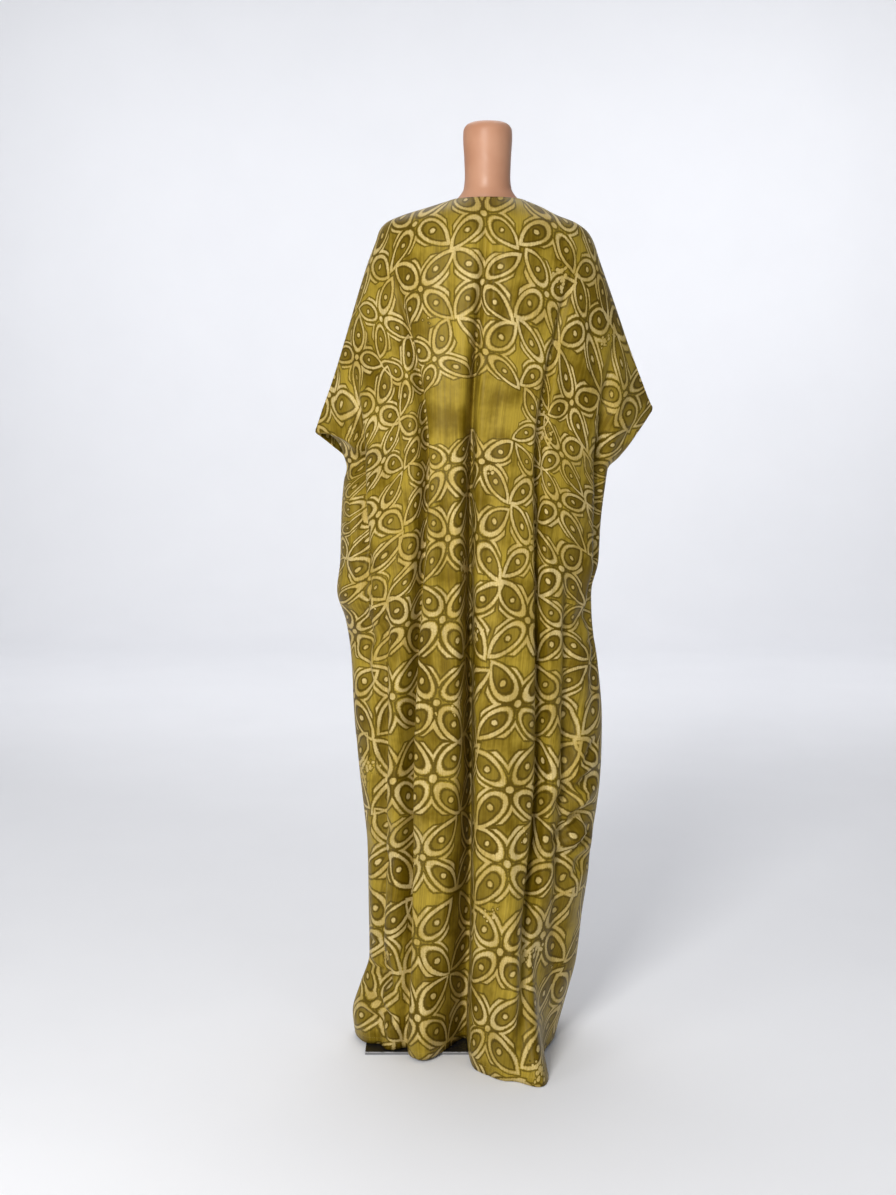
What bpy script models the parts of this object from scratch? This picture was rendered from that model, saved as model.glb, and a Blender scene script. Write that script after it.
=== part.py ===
"""Grand boubou of batik cotton on a limbless dress form, modelled in Blender.

Metres, +Z up. The origin is on the floor under the form's pole. +Y is the wearer's back,
+X the wearer's left hand side. The robe is two lengths of cloth, front and back, each 1.5 m
long, and 1.2 m wide across the sleeves and 0.86 m below the arms. They are sewn along the
shoulders and the tops of the sleeves and, below the open armholes, down the sides. Each
panel is a loft: at every height its section is a half ellipse, taken in by deep vertical
folds, and the loft's columns run down along those folds.
"""

import math
from collections import namedtuple

import bmesh
import bpy
import numpy as np

# The cut, and the wall
HALF_WIDTH = 0.60  # flat width of one panel, centre to sleeve edge
NECK_FLAT = 0.10  # half of the neck opening, measured flat
WALL = 0.0016
MITRE_LIMIT = 0.6  # the wall's thickness at a sharp crease is at most WALL over this
SEAM_GAP = 0.0003

# The robe on the form
NECK_Z = 1.486  # neckline at the nape and at both sides of the neck
NECK_HALF = 0.062  # half width of the neck opening where it meets the shoulder seams
FRONT_NECK_DROP = 0.085  # how far the round front neckline lies below the nape
TIP_Z = {"left": 1.090, "right": 1.130}  # lowest point of the sleeve's top edge
UNDERARM_Z = {"left": 1.046, "right": 1.028}  # where the side seam starts
ARMHOLE_OPEN = 0.020  # half of the gap between front and back at an armhole
WAIST_Z, KNEE_Z = 1.05, 0.55  # heights at which the fold table states its sizes

# Mesh density
COLUMN_STEP = 0.020  # flat cloth from one column to the next, the same on both panels
LEVELS = (  # rows below the sleeve tips lie at these heights on both panels
    1.067, 1.046, 1.028, 1.005, 0.965, 0.918, 0.866, 0.813, 0.760, 0.700,
    0.620, 0.540, 0.460, 0.380, 0.300, 0.220, 0.150, 0.100, 0.050,
)
UPPER_ROWS = 9  # from the top edge down to the first level
TABLE_COLUMNS, TABLE_ROWS = 300, 301  # fineness of the table that places the columns
FULL_PULL = 0.014  # a fold this deep holds its own column at its bottom
LEAST_STEP = 0.4  # columns are never closer than this share of even spacing

# Half widths to the wearer's left and right, and depths to the back and front, by height
Girth = namedtuple("Girth", "z left right back front")
GIRTHS = (
    Girth(1.486, 0.062, 0.062, 0.060, 0.050),
    Girth(1.474, 0.100, 0.092, 0.074, 0.061),
    Girth(1.460, 0.146, 0.120, 0.086, 0.069),
    Girth(1.448, 0.174, 0.150, 0.093, 0.076),
    Girth(1.434, 0.186, 0.171, 0.100, 0.083),
    Girth(1.419, 0.191, 0.181, 0.106, 0.091),
    Girth(1.385, 0.204, 0.193, 0.114, 0.105),
    Girth(1.318, 0.226, 0.218, 0.123, 0.127),
    Girth(1.249, 0.247, 0.243, 0.129, 0.140),
    Girth(1.181, 0.269, 0.270, 0.133, 0.143),
    Girth(1.140, 0.284, 0.287, 0.136, 0.143),
    Girth(1.132, 0.287, 0.291, 0.136, 0.143),
    Girth(1.128, 0.2885, 0.290, 0.136, 0.143),
    Girth(1.120, 0.291, 0.2845, 0.136, 0.143),
    Girth(1.096, 0.2995, 0.267, 0.138, 0.144),
    Girth(1.092, 0.301, 0.264, 0.138, 0.144),
    Girth(1.088, 0.2995, 0.261, 0.138, 0.144),
    Girth(1.083, 0.2935, 0.2575, 0.138, 0.144),
    Girth(1.067, 0.274, 0.246, 0.139, 0.145),
    Girth(1.046, 0.249, 0.229, 0.140, 0.145),
    Girth(1.028, 0.245, 0.212, 0.140, 0.146),
    Girth(1.005, 0.250, 0.208, 0.141, 0.147),
    Girth(0.937, 0.255, 0.200, 0.142, 0.149),
    Girth(0.866, 0.257, 0.196, 0.143, 0.151),
    Girth(0.813, 0.263, 0.184, 0.143, 0.152),
    Girth(0.760, 0.249, 0.186, 0.143, 0.153),
    Girth(0.688, 0.239, 0.196, 0.143, 0.155),
    Girth(0.580, 0.233, 0.207, 0.142, 0.158),
    Girth(0.508, 0.226, 0.205, 0.141, 0.161),
    Girth(0.435, 0.218, 0.199, 0.140, 0.164),
    Girth(0.361, 0.213, 0.188, 0.139, 0.167),
    Girth(0.251, 0.211, 0.176, 0.137, 0.172),
    Girth(0.150, 0.210, 0.165, 0.135, 0.176),
    Girth(0.100, 0.226, 0.153, 0.134, 0.178),
    Girth(0.050, 0.240, 0.140, 0.133, 0.180),
    Girth(0.000, 0.236, 0.126, 0.132, 0.181),
)

# Vertical folds. start: flat distance of the fold's own column from the centre line, at the
# panel's top edge. x_...: where it runs. begin: height at which it starts to sink in.
# waist, knee, floor: how deep it is there. splay: how much wider its left side is at the hem.
Fold = namedtuple("Fold", "start x_waist x_knee x_floor begin waist knee floor half splay")
BACK_FOLDS = (
    Fold(-0.40, -0.198, -0.184, -0.118, 1.28, 0.030, 0.000, 0.000, 0.015, 0.0),
    Fold(-0.34, -0.140, -0.144, -0.110, 1.00, 0.000, 0.026, 0.000, 0.015, 0.0),
    Fold(-0.22, -0.087, -0.094, -0.028, 1.44, 0.040, 0.066, 0.034, 0.014, 0.0),
    Fold(0.00, 0.032, 0.036, 0.046, 1.48, 0.044, 0.088, 0.096, 0.015, 0.024),
    Fold(0.22, 0.110, 0.142, 0.152, 1.42, 0.036, 0.052, 0.026, 0.015, 0.0),
    Fold(0.34, 0.172, 0.187, 0.198, 0.98, 0.000, 0.022, 0.014, 0.013, 0.0),
    Fold(0.42, 0.224, 0.212, 0.222, 1.27, 0.028, 0.000, 0.000, 0.015, 0.0),
)
FRONT_FOLDS = (
    Fold(-0.48, -0.196, -0.176, -0.108, 1.18, 0.030, 0.018, 0.012, 0.017, 0.0),
    Fold(-0.34, -0.134, -0.126, -0.084, 1.30, 0.024, 0.048, 0.040, 0.017, 0.0),
    Fold(-0.18, -0.070, -0.064, -0.044, 1.16, 0.020, 0.062, 0.074, 0.017, 0.0),
    Fold(0.00, 0.000, 0.008, 0.014, 1.10, 0.014, 0.050, 0.066, 0.019, 0.0),
    Fold(0.18, 0.074, 0.080, 0.088, 1.18, 0.024, 0.066, 0.078, 0.017, 0.0),
    Fold(0.34, 0.150, 0.146, 0.152, 1.32, 0.024, 0.042, 0.040, 0.017, 0.0),
    Fold(0.48, 0.220, 0.206, 0.212, 1.18, 0.030, 0.016, 0.012, 0.017, 0.0),
)

# Broad swellings: where the cloth stands out from the ellipse
Swell = namedtuple("Swell", "x z out half_x half_z")
BACK_SWELLS = (
    Swell(-0.038, -0.060, 0.140, 0.035, 0.27),
    Swell(0.014, -0.020, 0.030, 0.024, 0.20),
    Swell(0.106, 0.000, 0.022, 0.028, 0.10),
    Swell(-0.030, 0.600, 0.014, 0.035, 0.35),
    Swell(0.085, 0.800, 0.010, 0.035, 0.40),
)
FRONT_SWELLS = (
    Swell(0.050, 0.000, 0.018, 0.045, 0.25),
    Swell(-0.080, 0.000, 0.022, 0.035, 0.30),
)

# Slanting buckles where the length that is spare at the sides is taken up
Buckle = namedtuple("Buckle", "x z length angle deep half")
BACK_BUCKLES = (
    Buckle(0.235, 0.840, 0.16, 24, 0.010, 0.016),
    Buckle(0.225, 0.730, 0.15, -22, 0.012, 0.016),
    Buckle(0.205, 0.350, 0.12, 30, 0.008, 0.014),
    Buckle(0.200, 0.120, 0.14, -28, 0.014, 0.016),
    Buckle(0.205, 0.060, 0.13, -12, 0.012, 0.013),
    Buckle(-0.180, 0.775, 0.13, -28, 0.011, 0.016),
    Buckle(-0.175, 0.420, 0.13, 32, 0.013, 0.016),
    Buckle(-0.165, 0.345, 0.12, 18, 0.011, 0.014),
)
FRONT_BUCKLES = (
    Buckle(0.225, 0.800, 0.15, -24, 0.010, 0.018),
    Buckle(0.200, 0.420, 0.15, 26, 0.011, 0.018),
    Buckle(0.205, 0.110, 0.15, 18, 0.012, 0.016),
    Buckle(-0.175, 0.760, 0.14, 26, 0.010, 0.018),
    Buckle(-0.175, 0.380, 0.14, -28, 0.011, 0.018),
)

# The stand
PLATE = {"x": (-0.090, 0.214), "y": (-0.22, 0.10), "thick": 0.005}
POLE_RADIUS = 0.0110
SOCKET_RADIUS, SOCKET_HEIGHT = 0.026, 0.032
FORM_FOOT_Z = 0.850

# The form: half width, back and front depth of each section, and how square it is
Ring = namedtuple("Ring", "z half back front square")
FORM_RINGS = (
    Ring(0.8500, 0.104, 0.054, 0.068, 2.0),
    Ring(0.8535, 0.130, 0.065, 0.084, 2.0),
    Ring(0.8640, 0.144, 0.071, 0.092, 2.0),
    Ring(0.9100, 0.152, 0.075, 0.098, 2.1),
    Ring(0.9700, 0.145, 0.073, 0.097, 2.1),
    Ring(1.0350, 0.127, 0.068, 0.092, 2.1),
    Ring(1.0850, 0.118, 0.067, 0.089, 2.1),
    Ring(1.1450, 0.126, 0.075, 0.101, 2.1),
    Ring(1.2050, 0.139, 0.086, 0.118, 2.2),
    Ring(1.2550, 0.149, 0.094, 0.121, 2.2),
    Ring(1.3050, 0.157, 0.099, 0.112, 2.2),
    Ring(1.3550, 0.167, 0.098, 0.097, 2.2),
    Ring(1.3850, 0.175, 0.094, 0.088, 2.1),
    Ring(1.4050, 0.1785, 0.090, 0.082, 2.0),
    Ring(1.4180, 0.1755, 0.086, 0.077, 2.0),
    Ring(1.4320, 0.1645, 0.082, 0.071, 2.0),
    Ring(1.4455, 0.1450, 0.077, 0.066, 2.0),
    Ring(1.4575, 0.1165, 0.072, 0.061, 2.0),
    Ring(1.4715, 0.0875, 0.060, 0.052, 2.0),
    Ring(1.4835, 0.0585, 0.050, 0.046, 2.0),
    Ring(1.4930, 0.0480, 0.048, 0.044, 2.0),
    Ring(1.5050, 0.0410, 0.044, 0.042, 2.0),
    Ring(1.5250, 0.0390, 0.043, 0.042, 2.0),
    Ring(1.5550, 0.0400, 0.044, 0.044, 2.0),
    Ring(1.5900, 0.0420, 0.047, 0.046, 2.0),
    Ring(1.6020, 0.0415, 0.046, 0.045, 2.0),
    Ring(1.6100, 0.0375, 0.042, 0.041, 2.0),
    Ring(1.6150, 0.0290, 0.033, 0.032, 2.0),
    Ring(1.6165, 0.0180, 0.020, 0.019, 2.0),
)
FORM_SIDES = 32


def pchip(at, knots, values):
    """Monotone cubic through the knots, so that a table's corners stay where it puts them."""
    order = np.argsort(knots)
    x, y = np.asarray(knots, float)[order], np.asarray(values, float)[order]
    step, rise = np.diff(x), np.diff(y)
    slope = rise / step
    tangent = np.zeros_like(y)
    same = slope[:-1] * slope[1:] > 0
    weight_a = 2 * step[1:] + step[:-1]
    weight_b = step[1:] + 2 * step[:-1]
    inner = np.zeros_like(slope[1:])
    inner[same] = (weight_a + weight_b)[same] / (
        weight_a[same] / slope[:-1][same] + weight_b[same] / slope[1:][same]
    )
    tangent[1:-1] = inner
    tangent[0], tangent[-1] = slope[0], slope[-1]
    place = np.clip(at, x[0], x[-1])
    i = np.clip(np.searchsorted(x, place, side="right") - 1, 0, len(step) - 1)
    h = step[i]
    t = (place - x[i]) / h
    return (
        y[i] * (1 + 2 * t) * (1 - t) ** 2
        + h * tangent[i] * t * (1 - t) ** 2
        + y[i + 1] * t**2 * (3 - 2 * t)
        + h * tangent[i + 1] * t**2 * (t - 1)
    )


def smooth_step(value):
    t = np.clip(value, 0.0, 1.0)
    return t * t * (3 - 2 * t)


def girth(field, z):
    return pchip(z, [g.z for g in GIRTHS], [getattr(g, field) for g in GIRTHS])


def crest(side):
    """The sleeve's top edge, neck to tip: height against flat distance as a share of HALF_WIDTH."""
    z = np.linspace(NECK_Z, TIP_Z[side], 200)
    x = girth(side, z)
    run = np.concatenate([[0.0], np.cumsum(np.hypot(np.diff(x), np.diff(z)))])
    neck = NECK_FLAT / HALF_WIDTH
    return neck + (1 - neck) * run / run[-1], z


CRESTS = {side: crest(side) for side in ("left", "right")}


def top_height(u, front):
    """Height of a column's top end, for u from -1 at the right edge to 1 at the left."""
    z = np.where(u >= 0, np.interp(abs(u), *CRESTS["left"]), np.interp(abs(u), *CRESTS["right"]))
    if front:
        neck = np.clip(abs(u) * HALF_WIDTH / NECK_FLAT, 0, 1)
        z = z - FRONT_NECK_DROP * np.cos(math.pi / 2 * neck) ** 2
    return z


def edge_share(z, side):
    """The share of HALF_WIDTH that is above height z on the sleeve's top edge."""
    share, height = CRESTS[side]
    return np.interp(-z, -height, share)


def fold_x(fold, z, front):
    start = fold.start / HALF_WIDTH
    side = "left" if start >= 0 else "right"
    if abs(start) < 1e-9:
        top, x_top = NECK_Z - FRONT_NECK_DROP * front, 0.0
    else:
        top = float(top_height(np.array(start), front))
        x_top = math.copysign(float(girth(side, np.array(top))), start)
        if abs(fold.start) < NECK_FLAT:
            x_top *= math.sin(math.pi / 2 * abs(fold.start) / NECK_FLAT)
    return pchip(
        z, [top, WAIST_Z, KNEE_Z, 0.0], [x_top, fold.x_waist, fold.x_knee, fold.x_floor]
    )


def fold_depth(fold, z):
    full = np.interp(z, [0.0, KNEE_Z, WAIST_Z], [fold.floor, fold.knee, fold.waist])
    fade = max(fold.begin - WAIST_Z, 0.22)
    return full * smooth_step((fold.begin - z) / fade)


def neck_share(z, front):
    """The share of HALF_WIDTH that the neck opening takes at height z."""
    drop = np.clip((NECK_Z - z) / FRONT_NECK_DROP, 0, 1) if front else np.ones_like(z)
    return NECK_FLAT / HALF_WIDTH * np.arccos(np.sqrt(drop)) / (math.pi / 2)


def middle_angle(z, folds, front, sign):
    """Where one side of a section starts: at the middle fold, or at the neckline above that."""
    side = "left" if sign > 0 else "right"
    drop = (NECK_Z - z) / FRONT_NECK_DROP
    if front and drop < 1:
        return sign * math.asin(min(NECK_HALF / float(girth(side, z)) * math.sqrt(1 - drop**2), 1.0))
    x = float(fold_x([f for f in folds if f.start == 0.0][0], z, front))
    return math.asin(x / float(girth("left" if x > 0 else "right", z)))


def column_lengths(z, folds, front, sign, turns, run):
    """One side of a section, from the middle out: columns' shares and lengths along the cloth.
    Where a fold is deep its own column is drawn to its bottom. The others lie evenly."""
    side = "left" if sign > 0 else "right"
    width = float(girth(side, z))
    first, last = float(neck_share(np.array(z), front)), float(edge_share(z, side))
    near = np.interp(middle_angle(z, folds, front, sign), turns, run)
    far = run[-1] if sign > 0 else run[0]
    shares, lengths = [first], [near]
    for fold in sorted((f for f in folds if sign * f.start > 0), key=lambda f: abs(f.start)):
        share = abs(fold.start) / HALF_WIDTH
        if first < share < last:
            even = near + (far - near) * (share - first) / (last - first)
            turn = math.asin(min(max(float(fold_x(fold, z, front)) / width, -0.985), 0.985))
            pull = smooth_step(fold_depth(fold, z) / FULL_PULL)
            shares.append(share)
            lengths.append(even + pull * (np.interp(turn, turns, run) - even))
    shares, lengths = np.array(shares + [last]), np.array(lengths + [far])
    least = LEAST_STEP * (far - near) * np.diff(shares) / max(last - first, 1e-9)
    for i in range(1, len(shares) - 1):
        lengths[i] = sign * max(sign * lengths[i], sign * (lengths[i - 1] + least[i - 1]))
    for i in range(len(shares) - 2, 0, -1):
        lengths[i] = sign * min(sign * lengths[i], sign * (lengths[i + 1] - least[i]))
    return shares, lengths


def angle_tables(front):
    """For each side, the angles of evenly spaced columns at evenly spaced heights."""
    folds = FRONT_FOLDS if front else BACK_FOLDS
    turns = np.linspace(-math.pi / 2, math.pi / 2, 901)
    tables = {"left": [], "right": []}
    for z in np.linspace(0, NECK_Z, TABLE_ROWS):
        x, y = section_point(turns, np.full_like(turns, z), front)
        run = np.concatenate([[0.0], np.cumsum(np.hypot(np.diff(x), np.diff(y)))])
        for side, sign in (("left", 1), ("right", -1)):
            shares, lengths = column_lengths(z, folds, front, sign, turns, run)
            even = np.linspace(shares[0], shares[-1], TABLE_COLUMNS + 1)
            tables[side].append(np.interp(np.interp(even, shares, lengths), run, turns))
    return {side: np.array(rows) for side, rows in tables.items()}


def column_angle(u, z, front, tables):
    """Where column u crosses height z: 0 at the middle back or front, a right angle at a side."""
    up = np.clip(z / NECK_Z * (TABLE_ROWS - 1), 0, TABLE_ROWS - 1 - 1e-6)
    i, s = up.astype(int), up - up.astype(int)
    angle = np.zeros_like(z)
    for side, mine in (("left", u >= 0), ("right", u < 0)):
        first, last = neck_share(z, front), edge_share(z, side)
        share = (abs(u) - first) / np.maximum(last - first, 1e-9)
        out = np.clip(share, 0, 1) * TABLE_COLUMNS
        j = np.minimum(out.astype(int), TABLE_COLUMNS - 1)
        table, t = tables[side], out - j
        low = table[i, j] * (1 - t) + table[i, j + 1] * t
        high = table[i + 1, j] * (1 - t) + table[i + 1, j + 1] * t
        angle = np.where(mine, low * (1 - s) + high * s, angle)
    return angle


def armhole_gap(z, side):
    """Half of the distance between the front's and the back's free edges."""
    t = (TIP_Z[side] - z) / (TIP_Z[side] - UNDERARM_Z[side])
    return ARMHOLE_OPEN * np.sin(math.pi * np.clip(t, 0, 1))


def buckle_depth(buckle, x, z):
    """How far a slanting buckle takes the cloth in: a trough that tapers to both its ends."""
    turn = math.radians(buckle.angle)
    along = (x - buckle.x) * math.cos(turn) + (z - buckle.z) * math.sin(turn)
    across = (z - buckle.z) * math.cos(turn) - (x - buckle.x) * math.sin(turn)
    taper = smooth_step(1.25 - 2.5 * abs(along) / buckle.length)
    return buckle.deep * taper * np.exp(-((across / buckle.half) ** 2))


def section_point(angle, z, front):
    """The outer face at an angle round the section at height z, as x and y."""
    folds, swells, buckles = (
        (FRONT_FOLDS, FRONT_SWELLS, FRONT_BUCKLES) if front else (BACK_FOLDS, BACK_SWELLS, BACK_BUCKLES)
    )
    width = np.where(angle >= 0, girth("left", z), girth("right", z))
    depth = girth("front" if front else "back", z)
    gap = np.where(angle >= 0, armhole_gap(z, "left"), armhole_gap(z, "right"))
    wing = 1 + 0.9 * smooth_step((z - 0.98) / 0.10) * smooth_step((1.40 - z) / 0.20)
    sine, cosine = np.sin(angle), np.maximum(np.cos(angle), 1e-6)
    x = width * sine
    y = gap + (depth - gap) * cosine**wing
    normal_x = (depth - gap) * wing * cosine ** (wing - 1) * sine
    normal_y = width * cosine
    length = np.hypot(normal_x, normal_y)
    out = np.zeros_like(x)
    for fold in folds:
        x_fold = fold_x(fold, z, front)
        fold_width = np.where(x_fold > 0, girth("left", z), girth("right", z))
        centre = np.arcsin(np.clip(x_fold / fold_width, -0.985, 0.985))
        speed = np.hypot(width * np.cos(centre), depth * np.sin(centre))
        half = fold.half * (1.25 - 0.25 * np.clip(z / WAIST_Z, 0, 1))
        half = half + np.where(angle > centre, fold.splay * smooth_step(1 - z / KNEE_Z), 0)
        out = out - fold_depth(fold, z) * np.exp(-((speed * (angle - centre) / half) ** 2))
    for swell in swells:
        spread = ((x - swell.x) / swell.half_x) ** 2 + ((z - swell.z) / swell.half_z) ** 2
        out = out + swell.out * np.exp(-spread)
    for buckle in buckles:
        out = out - buckle_depth(buckle, x, z)
    from_edge = (math.pi / 2 - abs(angle)) * depth
    out = out * smooth_step(from_edge / 0.055)
    x = x + out * normal_x / length
    y = np.maximum(y + out * normal_y / length, 0.15 * from_edge) + SEAM_GAP / 2
    return x, (-y if front else y)


def cloth_point(u, z, front, tables):
    """A point of the outer face by column share u and height z."""
    x, y = section_point(column_angle(u, z, front, tables), z, front)
    return np.stack([x, y, z], axis=-1)


def settle(points):
    """Bends the whole robe a little: sleeves hang forward, and the side seams wander."""
    x, y, z = points[..., 0], points[..., 1], points[..., 2]
    sleeve = smooth_step((abs(x) - 0.195) / 0.11) * smooth_step((z - 0.95) / 0.15)
    side = smooth_step((abs(x) - 0.06) / 0.06) * smooth_step((0.95 - z) / 0.15)
    phase = np.where(x > 0, 0.6, 2.4)
    wander = 0.010 * np.sin(z / 0.43 * 2 * math.pi + phase) + 0.006 * np.sin(z / 0.19 * 2 * math.pi - phase)
    moved = points.copy()
    moved[..., 1] = y - 0.022 * sleeve + wander * side
    return moved


def hem_height(x, y):
    """The hem lies just above the floor, and over the base plate where it crosses that."""
    reach = 0.040
    off_x = np.maximum(np.maximum(PLATE["x"][0] - x, x - PLATE["x"][1]), 0)
    off_y = np.maximum(np.maximum(PLATE["y"][0] - y, y - PLATE["y"][1]), 0)
    beyond = smooth_step((np.hypot(off_x, off_y) - 0.030) / reach)
    return (PLATE["thick"] + 0.0012) * (1 - beyond) + 0.0012 * beyond


def panel_grid(front):
    """Outer points of a panel: rows from the top edge to the hem, columns from right to left."""
    tables = angle_tables(front)
    columns = round(HALF_WIDTH / COLUMN_STEP)
    u = np.arange(-columns, columns + 1) / columns
    top = top_height(u, front)
    foot = settle(cloth_point(u, np.zeros_like(u), front, tables))
    hem = hem_height(foot[:, 0], foot[:, 1])
    t = np.linspace(0, 1, 160)[:, None]
    z = top + (LEVELS[0] - top) * t
    track = cloth_point(np.broadcast_to(u, z.shape), z, front, tables)
    run = np.cumsum(np.linalg.norm(np.diff(track, axis=0, prepend=track[:1]), axis=-1), axis=0)
    rows = np.linspace(0, 1, UPPER_ROWS + 1)[:-1] ** 1.6
    upper = [np.interp(rows, run[:, i] / run[-1, i], z[:, i]) for i in range(len(u))]
    lower = [np.full_like(u, level) for level in LEVELS]
    heights = np.vstack([np.array(upper).T, lower, [hem]])
    return u, cloth_point(np.broadcast_to(u, heights.shape), heights, front, tables)


def offsets(grid, front):
    """Unit normals of the outer face, pointing out, and how far a mitred inner face lies back."""
    step = np.diff(grid, axis=1)
    step /= np.linalg.norm(step, axis=-1, keepdims=True)
    before = np.concatenate([step[:, :1], step], axis=1)
    after = np.concatenate([step, step[:, -1:]], axis=1)
    normal = np.cross(before + after, np.gradient(grid, axis=0)) * (-1 if front else 1)
    half_bend = np.sqrt(np.maximum((1 + np.sum(before * after, axis=-1, keepdims=True)) / 2, 0))
    return normal, WALL / np.maximum(half_bend, MITRE_LIMIT)


def seam_normals(line, normal):
    """A seam line's normals within the seam's plane, so that both panels' walls meet squarely."""
    along = np.gradient(line, axis=0)
    turned = np.stack([along[:, 2], np.zeros(len(line)), -along[:, 0]], axis=-1)
    return turned * np.sign(np.sum(turned * normal, axis=-1, keepdims=True))


def wall(name, u, outer, front):
    """Closes a grid of outer points into a wall with an inner face and edges all round."""
    normal, back = offsets(outer, front)
    normal[-1, :, 2] = 0.0
    seam = np.zeros(outer.shape[:2], bool)
    shoulder = int(np.sum(u <= -NECK_FLAT / HALF_WIDTH + 1e-9))
    for part in (slice(0, shoulder), slice(len(u) - shoulder, len(u))):
        seam[0, part] = True
        normal[0, part] = seam_normals(outer[0, part], normal[0, part])
        back[0, part] = WALL
    for column, side in ((0, "right"), (-1, "left")):
        below = outer[:, column, 2] <= UNDERARM_Z[side] + 0.004
        seam[below, column] = True
        normal[below, column] = seam_normals(outer[below, column], normal[below, column])
    normal /= np.linalg.norm(normal, axis=-1, keepdims=True)
    inner = outer - back * normal
    keep = np.where(seam, SEAM_GAP / 2, 2 * SEAM_GAP)
    inner[..., 1] = np.minimum(inner[..., 1], -keep) if front else np.maximum(inner[..., 1], keep)
    rows, columns = outer.shape[:2]
    mesh = bpy.data.meshes.new(name)
    bm = bmesh.new()
    sheets = [[[bm.verts.new(p) for p in row] for row in settle(face)] for face in (outer, inner)]
    for r in range(rows - 1):
        for c in range(columns - 1):
            corners = [(r, c), (r + 1, c), (r + 1, c + 1), (r, c + 1)]
            start, down, across, side = (sheets[0][i][j].co for i, j in corners)
            if (start - across).length > (down - side).length:
                corners = corners[1:] + corners[:1]
            for face, sheet in enumerate(sheets):
                quad = [sheet[i][j] for i, j in corners]
                for triangle in (quad[:3], [quad[0], quad[2], quad[3]]):
                    bm.faces.new(triangle if (face == 0) == front else triangle[::-1])
    border = (
        [(0, c) for c in range(columns)]
        + [(r, columns - 1) for r in range(1, rows)]
        + [(rows - 1, c) for c in range(columns - 2, -1, -1)]
        + [(r, 0) for r in range(rows - 2, 0, -1)]
    )
    for (r0, c0), (r1, c1) in zip(border, border[1:] + border[:1]):
        edge = [sheets[0][r0][c0], sheets[0][r1][c1], sheets[1][r1][c1], sheets[1][r0][c0]]
        bm.faces.new(edge)
    bmesh.ops.recalc_face_normals(bm, faces=bm.faces)
    bm.to_mesh(mesh)
    bm.free()
    mesh.shade_smooth()
    return mesh


def material(name, colour, roughness, metallic=0.0):
    made = bpy.data.materials.new(name)
    made.use_nodes = True
    shader = made.node_tree.nodes["Principled BSDF"]
    shader.inputs["Base Color"].default_value = (*colour, 1.0)
    shader.inputs["Roughness"].default_value = roughness
    shader.inputs["Metallic"].default_value = metallic
    return made


def add_object(name, mesh, finish, collection):
    mesh.materials.append(finish)
    made = bpy.data.objects.new(name, mesh)
    collection.objects.link(made)
    return made


def panel(name, front, finish, collection):
    u, outer = panel_grid(front)
    return add_object(name, wall(name, u, outer, front), finish, collection)


def dress_form(finish, collection):
    """A torso without limbs, lofted through its rings, with a closed foot and a rounded neck top."""
    bm = bmesh.new()
    loops = []
    for ring in FORM_RINGS:
        power = 2 / ring.square
        loop = []
        for i in range(FORM_SIDES):
            turn = 2 * math.pi * i / FORM_SIDES
            cosine, sine = math.cos(turn), math.sin(turn)
            depth = ring.back if sine > 0 else ring.front
            loop.append(
                bm.verts.new(
                    (
                        ring.half * math.copysign(abs(cosine) ** power, cosine),
                        depth * math.copysign(abs(sine) ** power, sine),
                        ring.z,
                    )
                )
            )
        loops.append(loop)
    for low, high in zip(loops, loops[1:]):
        for i in range(FORM_SIDES):
            j = (i + 1) % FORM_SIDES
            bm.faces.new((low[i], low[j], high[j], high[i]))
    bm.faces.new(loops[0][::-1])
    bm.faces.new(loops[-1])
    mesh = bpy.data.meshes.new("dress_form")
    bm.to_mesh(mesh)
    bm.free()
    mesh.shade_smooth()
    return add_object("dress_form", mesh, finish, collection)


def base_plate(finish, collection):
    bm = bmesh.new()
    bmesh.ops.create_cube(bm, size=1.0)
    size = (
        PLATE["x"][1] - PLATE["x"][0],
        PLATE["y"][1] - PLATE["y"][0],
        PLATE["thick"],
    )
    middle = (sum(PLATE["x"]) / 2, sum(PLATE["y"]) / 2, PLATE["thick"] / 2)
    bmesh.ops.scale(bm, verts=bm.verts, vec=size)
    bmesh.ops.translate(bm, verts=bm.verts, vec=middle)
    mesh = bpy.data.meshes.new("base_plate")
    bm.to_mesh(mesh)
    bm.free()
    plate = add_object("base_plate", mesh, finish, collection)
    edge = plate.modifiers.new("edge", "BEVEL")
    edge.width = 0.0008
    edge.segments = 2
    return plate


def pole(finish, collection):
    low, high = PLATE["thick"] + SEAM_GAP, FORM_FOOT_Z - SEAM_GAP
    bm = bmesh.new()
    bmesh.ops.create_cone(
        bm, cap_ends=True, segments=24, radius1=POLE_RADIUS, radius2=POLE_RADIUS, depth=high - low
    )
    bmesh.ops.translate(bm, verts=bm.verts, vec=(0, 0, (low + high) / 2))
    mesh = bpy.data.meshes.new("stand_pole")
    bm.to_mesh(mesh)
    bm.free()
    mesh.shade_smooth()
    return add_object("stand_pole", mesh, finish, collection)


def pole_socket(finish, collection):
    """The turned collar that holds the pole on the plate: its profile, screwed round once."""
    bore, low = POLE_RADIUS + SEAM_GAP, PLATE["thick"] + SEAM_GAP
    neck = POLE_RADIUS + 0.006
    profile = (
        (bore, SOCKET_HEIGHT),
        (neck - 0.001, SOCKET_HEIGHT),
        (neck, SOCKET_HEIGHT - 0.001),
        (neck, low + 0.008),
        (SOCKET_RADIUS - 0.002, low + 0.005),
        (SOCKET_RADIUS, low + 0.003),
        (SOCKET_RADIUS, low),
        (bore, low),
    )
    mesh = bpy.data.meshes.new("pole_socket")
    count = len(profile)
    mesh.from_pydata(
        [(r, 0.0, z) for r, z in profile], [(i, (i + 1) % count) for i in range(count)], []
    )
    socket = add_object("pole_socket", mesh, finish, collection)
    turn = socket.modifiers.new("turn", "SCREW")
    turn.steps = turn.render_steps = 32
    turn.use_merge_vertices = True
    turn.merge_threshold = 0.0001
    return socket


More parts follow.
